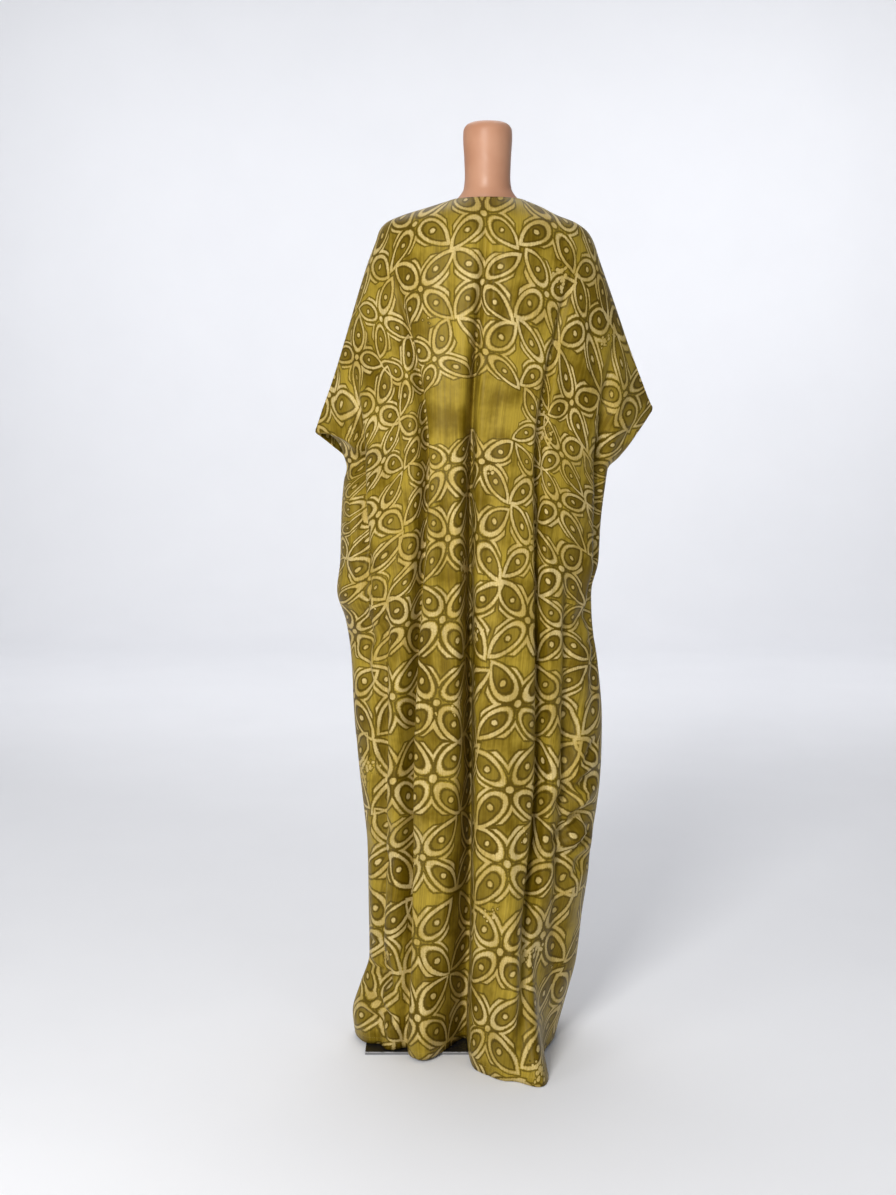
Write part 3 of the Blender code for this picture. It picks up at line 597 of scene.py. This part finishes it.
def caught_up(points, front):
    """At the wearer's left sleeve the back's free edge is caught up, so that the inside shows."""
    if front:
        return points
    x, z = points[..., 0], points[..., 2]
    along = (TIP_Z["left"] - z) / (TIP_Z["left"] - UNDERARM_Z["left"])
    edge = girth("left", np.clip(z, UNDERARM_Z["left"], TIP_Z["left"]))
    near = smooth_step(1 - (edge - x) / 0.055) * smooth_step((x - 0.215) / 0.03)
    lift = np.sin(math.pi * np.clip(along, 0, 1) ** 1.3)
    moved = points.copy()
    moved[..., 2] = z + CAUGHT_UP * near * lift
    return moved


def hem_height(x, y):
    """The hem lies just above the floor, and over the base plate where it crosses that."""
    off_x, off_y = (
        np.maximum(np.maximum(FLOOR_PLATE[axis][0] - at, at - FLOOR_PLATE[axis][1]), 0)
        for axis, at in (("x", x), ("y", y))
    )
    beyond = smooth_step((np.hypot(off_x, off_y) - 0.030) / 0.040)
    return (FLOOR_PLATE["thick"] + HEM_CLEARANCE) * (1 - beyond) + HEM_CLEARANCE * beyond


def panel_grid(front):
    """Outer points of a panel: rows from the top edge to the hem, columns from right to left."""
    tables = TABLES[front]
    u = np.arange(-COLUMNS_A_SIDE, COLUMNS_A_SIDE + 1) / COLUMNS_A_SIDE
    top = top_height(u, front)
    foot = settle(cloth_point(u, np.zeros_like(u), front, tables, False))
    hem = hem_height(foot[:, 0], foot[:, 1])
    t = np.linspace(0, 1, 160)[:, None]
    z = top + (SHARED_BELOW - top) * t
    track = cloth_point(np.broadcast_to(u, z.shape), z, front, tables, False)
    run = np.cumsum(np.linalg.norm(np.diff(track, axis=0, prepend=track[:1]), axis=-1), axis=0)
    rows = np.linspace(0, 1, UPPER_ROWS + 1)[:-1] ** 1.2
    upper = [np.interp(rows, run[:, i] / run[-1, i], z[:, i]) for i in range(len(u))]
    lower = 1 - np.linspace(0, 1, LOWER_ROWS)[:, None] ** 0.9
    heights = np.vstack([np.array(upper).T, hem + (SHARED_BELOW - hem) * lower])
    points = cloth_point(np.broadcast_to(u, heights.shape), heights, front, tables, True)
    return u, caught_up(points, front)


def cloth_across(grid, front):
    """Each point's distance across the cloth from the middle fold, along a level line."""
    runs = []
    for z in TABLE_LEVELS:
        run = section_run(z, front)
        middle = middle_turn(z, CUTS[front][0], front, MIDDLE_TOP)
        runs.append(run - np.interp(middle, SECTION_ANGLES, run))
    u = np.broadcast_to(np.linspace(-1, 1, grid.shape[1]), grid.shape[:2])
    turn = column_angle(u, grid[..., 2], front, TABLES[front])
    out = np.clip((turn / math.pi + 0.5) * SECTION_STEPS, 0, SECTION_STEPS - 1e-6)
    return look_up(np.array(runs), grid[..., 2], out)


def stamp_places(across, z):
    """The column and row of stampings at each point. At the shoulders the cloth's own level lines
    droop to the sleeves, and they come level again down the sides."""
    out = np.minimum(abs(across), 0.34)
    level = z + 1.7 * out**2 * smooth_step((z - 0.60) / 0.50)
    rows = pchip(level, STAMP_ROWS, np.arange(len(STAMP_ROWS)))
    above = np.maximum(level - STAMP_ROWS[0], 0) / (STAMP_ROWS[0] - STAMP_ROWS[1])
    below = np.maximum(STAMP_ROWS[-1] - level, 0) / (STAMP_ROWS[-2] - STAMP_ROWS[-1])
    swung = 0.22 * np.clip(1.45 - z, 0, 0.35) * smooth_step((out - 0.06) / 0.20)
    swung = swung * smooth_step((z - 0.70) / 0.30)
    repeat = REPEAT_AT_HEM + (REPEAT_AT_TOP - REPEAT_AT_HEM) * smooth_step((z - 0.30) / 1.0)
    return (across + np.sign(across) * swung) / repeat + pchip(z, *DRIFT), rows - above + below


def offsets(grid, front, thickness):
    """Unit normals of the outer face, pointing out, and how far a mitred inner face lies back."""
    step = np.diff(grid, axis=1)
    step /= np.linalg.norm(step, axis=-1, keepdims=True)
    before = np.concatenate([step[:, :1], step], axis=1)
    after = np.concatenate([step, step[:, -1:]], axis=1)
    normal = np.cross(before + after, np.gradient(grid, axis=0)) * (-1 if front else 1)
    half_bend = np.sqrt(np.maximum((1 + np.sum(before * after, axis=-1, keepdims=True)) / 2, 0))
    return normal, thickness / np.maximum(half_bend, MITRE_LIMIT)


def seam_normals(line, normal):
    """A seam line's normals within the seam's plane, so that both panels meet squarely."""
    along = np.gradient(line, axis=0)
    turned = np.stack([along[:, 2], np.zeros(len(line)), -along[:, 0]], axis=-1)
    return turned * np.sign(np.sum(turned * normal, axis=-1, keepdims=True))


def sewn_panel(name, front, finish):
    """A panel's shell and its outer points. One UV map gives each point's place on the flat cloth
    in metres, for the weave, and another its place among the stampings, for the print."""
    TABLES[front] = angle_tables(front)
    u, outer = panel_grid(front)
    from_hem = np.cumsum(np.linalg.norm(np.diff(outer, axis=0), axis=-1)[::-1], axis=0)[::-1]
    from_hem = np.concatenate([from_hem, np.zeros((1, len(u)))])
    turned_up = smooth_step((HEM_DEPTH - from_hem) / 0.0015)
    thickness = (CLOTH + (HEM_CLOTH - CLOTH) * turned_up)[..., None]
    normal, back = offsets(outer, front, thickness)
    normal[-1, :, 2] = 0.0
    seam = np.zeros(outer.shape[:2], bool)
    shoulder = int(np.sum(u <= -NECK_FLAT / HALF_WIDTH + 1e-9))
    for part in (slice(0, shoulder), slice(len(u) - shoulder, len(u))):
        seam[0, part] = True
        normal[0, part] = seam_normals(outer[0, part], normal[0, part])
        back[0, part] = CLOTH
    for column, side in ((0, "right"), (-1, "left")):
        below = outer[:, column, 2] <= UNDERARM_Z[side] + 0.004
        seam[below, column] = True
        normal[below, column] = seam_normals(outer[below, column], normal[below, column])
    normal /= np.linalg.norm(normal, axis=-1, keepdims=True)
    inner = outer - back * normal
    keep = np.where(seam, SEAM_GAP / 2, 2 * SEAM_GAP)
    inner[..., 1] = np.minimum(inner[..., 1], -keep) if front else np.maximum(inner[..., 1], keep)
    rows, columns = outer.shape[:2]
    index = np.arange(2 * rows * columns).reshape(2, rows, columns)
    faces = []
    for layer in (0, 1):
        a, b = index[layer, :-1, :-1].ravel(), index[layer, 1:, :-1].ravel()
        c, d = index[layer, 1:, 1:].ravel(), index[layer, :-1, 1:].ravel()
        quads = np.stack([a, b, c, d], axis=-1)
        faces += (quads if (layer == 0) == front else quads[:, ::-1]).tolist()
    rim = (
        [(0, c) for c in range(columns)]
        + [(r, columns - 1) for r in range(1, rows)]
        + [(rows - 1, c) for c in range(columns - 2, -1, -1)]
        + [(r, 0) for r in range(rows - 2, 0, -1)]
    )
    for (r0, c0), (r1, c1) in zip(rim, rim[1:] + rim[:1]):
        edge = [index[0, r0, c0], index[0, r1, c1], index[1, r1, c1], index[1, r0, c0]]
        faces.append([int(i) for i in (edge if front else edge[::-1])])
    settled = settle(np.stack([outer, inner]))
    piece = add_piece(name, smooth_mesh(name, settled.reshape(-1, 3), faces, finish))
    across = cloth_across(outer, front)
    column, row = stamp_places(across, outer[..., 2])
    corners = np.empty(len(piece.data.loops), dtype=np.int32)
    piece.data.loops.foreach_get("vertex_index", corners)
    for layer, places in (("flat_cloth", (across, outer[..., 2])), ("stampings", (column, -row))):
        flat = np.tile(np.stack(places, axis=-1).reshape(-1, 2), (2, 1))
        piece.data.uv_layers.new(name=layer).data.foreach_set("uv", flat[corners].ravel())
    return piece, settled[0], normal


# Stitching: running stitches of mustard thread hold the turned-in hems, 14 mm above the foot,
# 10 mm in from the sleeves' openings and 6 mm below the neckline. Each lies half sunk in the cloth.
STITCH_PITCH, STITCH_LENGTH, THREAD_WIDTH = 0.0034, 0.0023, 0.00055
HEM_INSET, SLEEVE_INSET, NECK_INSET = 0.014, 0.010, 0.006
SUNK = 0.0001


def inset_line(points, normals, inset):
    """The line that lies a distance in from an edge. The first axis of the points runs inwards."""
    steps = np.linalg.norm(np.diff(points, axis=0), axis=-1)
    away = np.concatenate([np.zeros((1, points.shape[1])), np.cumsum(steps, axis=0)])
    raised = points + SUNK * normals
    return np.array([
        [np.interp(inset, away[:, i], raised[:, i, k]) for k in range(3)]
        for i in range(points.shape[1])
    ])


def stitch_tree():
    """Turns lines of edges into rows of stitches. Each is a stretched ball along the line."""
    made = bpy.data.node_groups.new("rows of stitches", "GeometryNodeTree")
    made.is_modifier = True
    for name, kind in (
        ("Geometry", "NodeSocketGeometry"),
        ("Pitch", "NodeSocketFloat"),
        ("Stitch Length", "NodeSocketFloat"),
        ("Thread Width", "NodeSocketFloat"),
        ("Thread", "NodeSocketMaterial"),
    ):
        made.interface.new_socket(name, in_out="INPUT", socket_type=kind)
    made.interface.new_socket("Geometry", in_out="OUTPUT", socket_type="NodeSocketGeometry")
    entry, leave = made.nodes.new("NodeGroupInput"), made.nodes.new("NodeGroupOutput")
    width = entry.outputs["Thread Width"]
    line = put(made, "GeometryNodeMeshToCurve", {"Mesh": entry.outputs["Geometry"]}).outputs[0]
    spacing = {"Curve": line, "Length": entry.outputs["Pitch"]}
    even = put(made, "GeometryNodeResampleCurve", spacing, mode="LENGTH").outputs[0]
    tangent = put(made, "GeometryNodeInputTangent").outputs[0]
    turn = put(made, "FunctionNodeAlignRotationToVector", {"Vector": tangent}, axis="X").outputs[0]
    chance = put(made, "FunctionNodeRandomValue", {"Min": 0.86, "Max": 1.10, "Seed": 11})
    chance = next(out for out in chance.outputs if out.enabled)
    length = calc(made, "MULTIPLY", entry.outputs["Stitch Length"], chance)
    size = put(made, "ShaderNodeCombineXYZ", {"X": length, "Y": width, "Z": width}).outputs[0]
    ball = put(made, "GeometryNodeMeshUVSphere", {"Segments": 6, "Rings": 4, "Radius": 0.5})
    ball = ball.outputs["Mesh"]
    ball = put(made, "GeometryNodeSetShadeSmooth", {"Geometry": ball}).outputs[0]
    parts = {"Points": even, "Instance": ball, "Rotation": turn, "Scale": size}
    stitches = put(made, "GeometryNodeInstanceOnPoints", parts).outputs[0]
    stitches = put(made, "GeometryNodeRealizeInstances", {"Geometry": stitches}).outputs[0]
    dyed = {"Geometry": stitches, "Material": entry.outputs["Thread"]}
    dyed = put(made, "GeometryNodeSetMaterial", dyed).outputs[0]
    made.links.new(dyed, leave.inputs["Geometry"])
    return made


def hem_stitches(name, outer, normal, front, thread):
    """Rows of stitches round one panel: its foot, its neckline and its two sleeve openings."""
    side = np.cross(np.gradient(outer, axis=1), np.gradient(outer, axis=0)) * (1 if front else -1)
    side = -side / np.linalg.norm(side, axis=-1, keepdims=True)
    side *= np.sign(np.sum(side * normal, axis=-1, keepdims=True))
    middle = outer.shape[1] // 2
    neck = int(NECK_FLAT / HALF_WIDTH * COLUMNS_A_SIDE)
    at_neck = slice(middle - neck + 1, middle + neck)
    lines = [
        inset_line(outer[::-1], side[::-1], HEM_INSET),
        inset_line(outer[:, at_neck], side[:, at_neck], NECK_INSET),
    ]
    for turned, way in (("right", 1), ("left", -1)):
        height = outer[:, ::way][:, 0, 2]
        rows = (height > UNDERARM_Z[turned] + 0.002) & (height < TIP_Z[turned] - 0.006)
        edge, out = (grid[:, ::way][rows].swapaxes(0, 1) for grid in (outer, side))
        lines.append(inset_line(edge, out, SLEEVE_INSET))
    points, edges = [], []
    for line in lines:
        edges += [(len(points) + i, len(points) + i + 1) for i in range(len(line) - 1)]
        points += [tuple(p) for p in line]
    mesh = bpy.data.meshes.new(name + " lines")
    mesh.from_pydata(points, edges, [])
    guide = add_object(name + " lines", mesh)
    rows = guide.modifiers.new("stitches", "NODES")
    rows.node_group = STITCHES
    values = dict(zip(
        ("Pitch", "Stitch Length", "Thread Width", "Thread"),
        (STITCH_PITCH, STITCH_LENGTH, THREAD_WIDTH, thread),
    ))
    for item in STITCHES.interface.items_tree:
        if item.in_out == "INPUT" and item.name in values:
            rows[item.identifier] = values[item.name]
    seen = guide.evaluated_get(bpy.context.evaluated_depsgraph_get())
    sewn = bpy.data.meshes.new_from_object(seen)
    guide.modifiers.clear()
    bpy.data.objects.remove(guide)
    sewn.name = name
    return add_piece(name, sewn)


STITCHES = stitch_tree()
thread, tree, shader = new_finish("mustard cotton thread")
twist = {"Vector": metres_in(tree), "Scale": 900.0, "Distortion": 0.6}
twist = put(tree, "ShaderNodeTexWave", twist, bands_direction="DIAGONAL").outputs["Fac"]
feed(tree, shader, {
    "Base Color": blend(tree, twist, (0.200, 0.140, 0.020, 1), (0.420, 0.310, 0.070, 1)),
    "Roughness": 0.62,
    "Normal": bumps(tree, twist, 0.30, 0.0001),
})

# What shapes each panel, keyed by whether it is the front, and its columns' angles.
CUTS = {False: (BACK_FOLDS, BACK_SWELLS, BACK_BUCKLES, BACK_CREASES)}
TABLES = {}

# The print: a flower stamped in wax before dyeing, over and over by hand, so that no two sit quite
# alike. Four petals, blunt near the middle dot and pointed outside, lie between four bent arms
# that follow their outlines. Sizes are shares of the repeat. STAMP_ROWS are the heights at which
# the rows cross the middle of the back: they crowd where the stamper fitted in a row.
REPEAT_AT_TOP, REPEAT_AT_HEM = 0.118, 0.142
STAMP_ROWS = (1.461, 1.348, 1.230, 1.1375, 1.045, 0.920, 0.785, 0.640, 0.499, 0.360, 0.214, 0.084)
STAMP_WANDER, STAMP_TURN = 0.050, 0.12
PETAL_PLACE, PETAL_INNER, PETAL_OUTER, PETAL_HALF_WIDTH = 0.350, 0.262, 0.352, 0.150
LINE, ARM_LINE, ARM_GAP, ARM_START, ARM_END = 0.040, 0.034, 0.036, 0.205, 0.440
DOT, PETAL_DOT = 0.044, 0.034
SKIPPED_STAMPS = ((0, -3), (1, -3))
LINE_WOBBLE, FAR_OFF = 0.090, 9.0
# The middle fold isn't on one thread of the cloth: at these heights, it is so many stampings off.
DRIFT = ((0.00, 0.60, 0.92, 1.15, 1.34, 1.49), (0.08, 0.08, 0.38, 0.42, 0.00, 0.00))


def vector(tree, operation, *values, output=0):
    made = put(tree, "ShaderNodeVectorMath", dict(enumerate(values)), operation=operation)
    return made.outputs[output]


def stamp_tree():
    """One stamping near a place: how far off the wax is, and how far the petals' edge is."""
    made = bpy.data.node_groups.new("flower stamp", "ShaderNodeTree")
    for name, kind, way in (
        ("Place", "NodeSocketVector", "INPUT"),
        ("Corner", "NodeSocketVector", "INPUT"),
        ("Wax", "NodeSocketFloat", "OUTPUT"),
        ("Petal", "NodeSocketFloat", "OUTPUT"),
    ):
        made.interface.new_socket(name, in_out=way, socket_type=kind)
    entry = made.nodes.new("NodeGroupInput")
    leave = made.nodes.new("NodeGroupOutput")

    def m(operation, *values):
        return calc(made, operation, *values)

    def far(x, y):
        return m("SQRT", m("ADD", m("POWER", x, 2), m("POWER", y, 2)))

    cell = vector(made, "FLOOR", entry.outputs["Place"])
    cell = vector(made, "ADD", cell, entry.outputs["Corner"])
    chance = put(made, "ShaderNodeTexWhiteNoise", {"Vector": cell}, noise_dimensions="3D")
    wander = vector(made, "SUBTRACT", chance.outputs["Color"], (0.5, 0.5, 0.5))
    wander = vector(made, "SCALE", wander)
    wander.node.inputs["Scale"].default_value = 2 * STAMP_WANDER
    local = vector(made, "SUBTRACT", entry.outputs["Place"], cell)
    local = vector(made, "SUBTRACT", local, wander)
    turn = m("MULTIPLY", m("SUBTRACT", chance.outputs["Value"], 0.5), 2 * STAMP_TURN)
    turned = {"Vector": local, "Angle": turn}
    turned = put(made, "ShaderNodeVectorRotate", turned, rotation_type="Z_AXIS").outputs[0]
    split = put(made, "ShaderNodeSeparateXYZ", {"Vector": vector(made, "ABSOLUTE", turned)})
    x, y = split.outputs["X"], split.outputs["Y"]
    along = m("SUBTRACT", m("MULTIPLY", m("ADD", x, y), math.sqrt(0.5)), PETAL_PLACE)
    across = m("ABSOLUTE", m("MULTIPLY", m("SUBTRACT", x, y), math.sqrt(0.5)))
    radius = (PETAL_OUTER**2 + PETAL_HALF_WIDTH**2) / (2 * PETAL_HALF_WIDTH)
    swung = m("ADD", across, radius - PETAL_HALF_WIDTH)
    pointed = m("SUBTRACT", far(along, swung), radius)
    squeezed = m("MULTIPLY", along, PETAL_HALF_WIDTH / PETAL_INNER)
    blunt = m("SUBTRACT", far(squeezed, across), PETAL_HALF_WIDTH)
    outside = m("GREATER_THAN", along, 0.0)
    blunt = m("MULTIPLY", blunt, m("SUBTRACT", 1.0, outside))
    petal = m("ADD", m("MULTIPLY", pointed, outside), blunt)
    outline = m("SUBTRACT", m("ABSOLUTE", m("ADD", petal, LINE / 2)), LINE / 2)
    reach = m("MAXIMUM", x, y)
    arm = m("ABSOLUTE", m("SUBTRACT", petal, ARM_GAP + ARM_LINE / 2))
    arm = m("SUBTRACT", arm, ARM_LINE / 2)
    arm = m("MAXIMUM", arm, m("SUBTRACT", ARM_START, reach))
    arm = m("MAXIMUM", arm, m("SUBTRACT", reach, ARM_END))
    dot = m("SUBTRACT", far(x, y), DOT)
    seed = m("SUBTRACT", far(along, across), PETAL_DOT)
    wax = m("MINIMUM", m("MINIMUM", outline, arm), m("MINIMUM", dot, seed))
    for skipped in SKIPPED_STAMPS:
        away = vector(made, "DISTANCE", cell, (*skipped, 0.0), output="Value")
        lost = m("LESS_THAN", away, 0.4)
        wax, petal = m("ADD", wax, lost), m("ADD", petal, lost)
    made.links.new(wax, leave.inputs["Wax"])
    made.links.new(petal, leave.inputs["Petal"])
    return made


STAMP = stamp_tree()


def batik(name, shift):
    """Silky cotton: mustard and olive dye with slubs down the cloth, and the pale waxed flowers."""
    finish, tree, shader = new_finish(name)

    def m(operation, *values):
        return calc(tree, operation, *values)

    flat = put(tree, "ShaderNodeUVMap", uv_map="flat_cloth").outputs[0]
    stampings = put(tree, "ShaderNodeUVMap", uv_map="stampings").outputs[0]
    place = {"Vector": stampings, "Location": (*shift, 0)}
    place = put(tree, "ShaderNodeMapping", place).outputs[0]
    wobble = put(tree, "ShaderNodeTexNoise", {"Vector": place, "Scale": 2.2, "Detail": 0.0})
    bent = vector(tree, "SUBTRACT", wobble.outputs["Color"], (0.5, 0.5, 0.5))
    bent = vector(tree, "MULTIPLY", bent, (LINE_WOBBLE, LINE_WOBBLE, 0))
    place = vector(tree, "ADD", place, bent)
    wax = petal = FAR_OFF
    for corner in ((0, 0, 0), (1, 0, 0), (0, 1, 0), (1, 1, 0)):
        stamp = {"Place": place, "Corner": corner}
        stamp = put(tree, "ShaderNodeGroup", stamp, node_tree=STAMP).outputs
        wax, petal = m("MINIMUM", wax, stamp["Wax"]), m("MINIMUM", petal, stamp["Petal"])
    rough_edge = m("MULTIPLY", m("SUBTRACT", grain(tree, flat, 300.0, 1.0), 0.5), 0.020)
    thick_thin = m("MULTIPLY", m("SUBTRACT", grain(tree, flat, 22.0, 1.0), 0.5), 0.036)
    wax = m("ADD", wax, m("ADD", rough_edge, thick_thin))
    drips = put(tree, "ShaderNodeTexVoronoi", {"Vector": flat, "Scale": 130.0}).outputs["Distance"]
    splashed = ramp(tree, grain(tree, flat, 9.0, 1.0), 0.60, 0.72, -0.40, 0.50)
    wax = m("MINIMUM", wax, m("MULTIPLY", m("SUBTRACT", drips, splashed), 0.12))
    pale = ramp(tree, wax, 0.005, -0.008)
    near_line = ramp(tree, wax, 0.002, 0.010)
    halo = m("MULTIPLY", near_line, ramp(tree, wax, 0.034, 0.018))
    slubs = grain(tree, stretched(tree, flat, 620.0, 9.0), 1.0, 2.0)
    streaks = grain(tree, stretched(tree, flat, 150.0, 9.0), 1.0, 3.0)
    patches = grain(tree, flat, 11.0, 4.0, 0.6)
    tone = m("ADD", m("MULTIPLY", patches, 0.76), m("MULTIPLY", streaks, 0.24))
    tone = ramp(tree, tone, 0.38, 0.62)
    ground = blend(tree, tone, (0.132, 0.082, 0.002, 1), (0.330, 0.232, 0.026, 1))
    inside = m("MULTIPLY", ramp(tree, petal, 0.0, -0.05), 0.50)
    ground = blend(tree, inside, ground, (0.092, 0.055, 0.001, 1))
    ground = blend(tree, m("MULTIPLY", halo, 0.78), ground, (0.058, 0.034, 0.001, 1))
    speckle = put(tree, "ShaderNodeTexVoronoi", {"Vector": flat, "Scale": 420.0})
    speckle = ramp(tree, speckle.outputs["Distance"], 0.62, 0.20, 0.0, 0.42)
    waxed = ramp(tree, grain(tree, flat, 16.0, 3.0), 0.36, 0.64)
    waxed = blend(tree, waxed, (0.440, 0.315, 0.085, 1), (0.570, 0.445, 0.195, 1))
    waxed = blend(tree, speckle, waxed, (0.300, 0.210, 0.040, 1))
    body = blend(tree, m("MULTIPLY", pale, 0.96), ground, waxed)
    shade = ramp(tree, slubs, 0.30, 0.72, 0.84, 1.12)
    shade = put(tree, "ShaderNodeCombineColor", {0: shade, 1: shade, 2: shade}).outputs[0]
    weave = {"Vector": flat, "Scale": 400.0, "Distortion": 1.5}
    weave = put(tree, "ShaderNodeTexWave", weave, bands_direction="Y").outputs["Fac"]
    height = m("ADD", slubs, m("MULTIPLY", weave, 0.25))
    feed(tree, shader, {
        "Base Color": blend(tree, 1.0, body, shade, "MULTIPLY"),
        "Roughness": ramp(tree, slubs, 0.3, 0.7, 0.40, 0.52),
        "Specular IOR Level": 0.24,
        "Specular Tint": (1.0, 0.84, 0.40, 1),
        "Normal": bumps(tree, height, 0.20, 0.0004),
    })
    return finish


back_batik = batik("batik cotton, back", (0.0, 0.0))
back_cloth, back_outer, back_normals = sewn_panel("back_cloth", False, back_batik)
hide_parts("back_panel")
back_stitches = hem_stitches("back_stitches", back_outer, back_normals, False, thread)


# Front panel: the same length of cloth, with a round neckline cut 8.5 cm lower than the nape.
# The photo hides it, so its folds are of the same kind as the back's, and its print runs on.
FRONT_FOLDS = in_mm(
    Fold,
    (-480, -196, -176, -108, 1180, 30, 18, 12, 17, 0),
    (-340, -134, -126, -84, 1300, 24, 48, 40, 17, 0),
    (-180, -70, -64, -44, 1160, 20, 62, 74, 17, 0), (0, 0, 8, 14, 1100, 14, 50, 66, 19, 0),
    (180, 74, 80, 88, 1180, 24, 66, 78, 17, 0), (340, 150, 146, 152, 1320, 24, 42, 40, 17, 0),
    (480, 220, 206, 212, 1180, 30, 16, 12, 17, 0),
)
FRONT_SWELLS = in_mm(
    Swell,
    (50, 0, 18, 45, 250), (-80, 0, 22, 35, 300),
)
FRONT_BUCKLES = [Buckle(*row) for row in (
    (0.225, 0.8, 0.15, -24, 0.01, 0.018), (0.2, 0.42, 0.15, 26, 0.011, 0.018),
    (0.205, 0.11, 0.15, 18, 0.012, 0.016), (-0.175, 0.76, 0.14, 26, 0.01, 0.018),
    (-0.175, 0.38, 0.14, -28, 0.011, 0.018),
)]
FRONT_CREASES = in_mm(
    Crease,
    (78, 1420, 92, 1120, 4, 12), (-80, 1420, -90, 1140, 4, 12), (30, 1380, 40, 1060, 3.5, 11),
    (-28, 1360, -34, 1080, 3.5, 11), (160, 1360, 186, 1080, 4, 12), (-156, 1350, -178, 1090, 4, 12),
    (110, 1040, 112, 640, 4.5, 11), (-100, 1020, -96, 600, 4.5, 11), (36, 960, 46, 520, 4.5, 11),
    (-34, 980, -28, 540, 4.5, 11), (184, 980, 178, 660, 4.5, 11), (-162, 960, -152, 660, 4.5, 11),
    (118, 480, 120, 60, 4.5, 11), (50, 460, 52, 40, 4.5, 11), (-18, 480, -14, 60, 4.5, 11),
    (-84, 470, -66, 40, 4.5, 10), (180, 480, 182, 150, 4, 10), (-140, 500, -108, 140, 4, 10),
    (235, 880, 190, 840, 5, 9), (232, 740, 190, 690, 5, 9), (215, 460, 170, 400, 4.5, 9),
    (225, 130, 180, 90, 5.5, 8), (-190, 720, -145, 680, 5, 9), (-192, 500, -145, 450, 5, 9),
    (-185, 400, -140, 350, 4.5, 9), (-160, 160, -125, 110, 4.5, 8),
)
CUTS[True] = (FRONT_FOLDS, FRONT_SWELLS, FRONT_BUCKLES, FRONT_CREASES)
front_batik = batik("batik cotton, front", (0.35, 0.40))
front_cloth, front_outer, front_normals = sewn_panel("front_cloth", True, front_batik)
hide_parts("front_panel")
front_stitches = hem_stitches("front_stitches", front_outer, front_normals, True, thread)


# Floor and light: a pale seamless paper sweep. A strong soft light stands above and left of the
# camera, weak ones on both sides of it and overhead, one hangs over the floor and two light the
# backdrop. The camera stands where the photograph was taken.
paper, tree, shader = new_finish("white studio paper")
fibres = grain(tree, metres_in(tree), 3.0)
feed(tree, shader, {
    "Base Color": blend(tree, fibres, (0.825, 0.834, 0.868, 1), (0.86, 0.868, 0.90, 1)),
    "Roughness": 0.75,
})

SWEEP_HALF_WIDTH, SWEEP_FRONT, SWEEP_BACK, SWEEP_TOP = 6.0, 6.0, -5.8, 5.0
SWEEP_RADIUS, SWEEP_STEPS = 1.2, 16
profile = [(SWEEP_FRONT, 0.0), (SWEEP_BACK + SWEEP_RADIUS, 0.0)]
for i in range(1, SWEEP_STEPS + 1):
    turn = math.pi / 2 * i / SWEEP_STEPS
    y = SWEEP_BACK + SWEEP_RADIUS * (1 - math.sin(turn))
    profile.append((y, SWEEP_RADIUS * (1 - math.cos(turn))))
profile.append((SWEEP_BACK, SWEEP_TOP))
points = [(side * SWEEP_HALF_WIDTH, y, z) for y, z in profile for side in (-1, 1)]
faces = [(2 * i, 2 * i + 1, 2 * i + 3, 2 * i + 2) for i in range(len(profile) - 1)]
sweep = add_object("studio_sweep", smooth_mesh("studio_sweep", points, faces, paper))

world = bpy.data.worlds.new("studio surround")
world.use_nodes = True
surround = {"Color": (0.955, 0.972, 1.0, 1), "Strength": 0.22}
feed(world.node_tree, world.node_tree.nodes["Background"], surround)
bpy.context.scene.world = world
bpy.context.scene.view_settings.view_transform = "Standard"


def aim(place, target):
    """The turn that points a lamp or camera at place towards target."""
    x, y, z = (b - a for a, b in zip(place, target))
    return (math.atan2(math.hypot(x, y), -z), 0.0, math.atan2(-x, y))


for name, place, target, power, size, colour in (
    ("above and left", (1.15, 3.5, 2.1), (0.0, 0.0, 0.75), 122, 1.0, (1.0, 0.985, 0.955)),
    ("overhead", (-0.6, 0.4, 3.4), (-0.6, 0.2, 0.0), 8, 2.4, (1.0, 1.0, 1.0)),
    ("over the floor", (0.2, -1.9, 3.8), (0.2, -2.0, 0.0), 62, 3.0, (0.99, 0.99, 1.0)),
    ("left of camera", (1.9, 1.6, 1.1), (0.0, 0.0, 0.5), 8, 0.7, (1.0, 0.98, 0.95)),
    ("right of camera", (-1.5, 2.3, 1.4), (0.0, 0.0, 0.8), 6, 0.9, (0.98, 0.98, 1.0)),
    ("backdrop right", (-2.2, -3.0, 2.5), (-0.5, -5.8, 1.9), 41, 1.5, (0.985, 0.988, 1.0)),
    ("backdrop left", (2.2, -3.0, 2.5), (0.5, -5.8, 1.9), 31, 1.5, (0.985, 0.988, 1.0)),
):
    lamp = bpy.data.lights.new(name, "AREA")
    lamp.energy, lamp.size, lamp.color = power, size, colour
    lamp = add_object(name, lamp)
    lamp.location, lamp.rotation_euler = place, aim(place, target)

PHOTO_WIDTH, FOCAL_PIXELS, SENSOR = 896, 1714, 36.0
view = bpy.data.cameras.new("photo view")
view.sensor_fit, view.sensor_width = "HORIZONTAL", SENSOR
view.lens = FOCAL_PIXELS * SENSOR / PHOTO_WIDTH
camera = add_object("photo view", view)
camera.location = (0.0677, 3.0, 1.17)
camera.rotation_euler = aim(camera.location, (0.0677, 0.0, 0.80))
bpy.context.scene.camera = camera

bpy.context.view_layer.update()
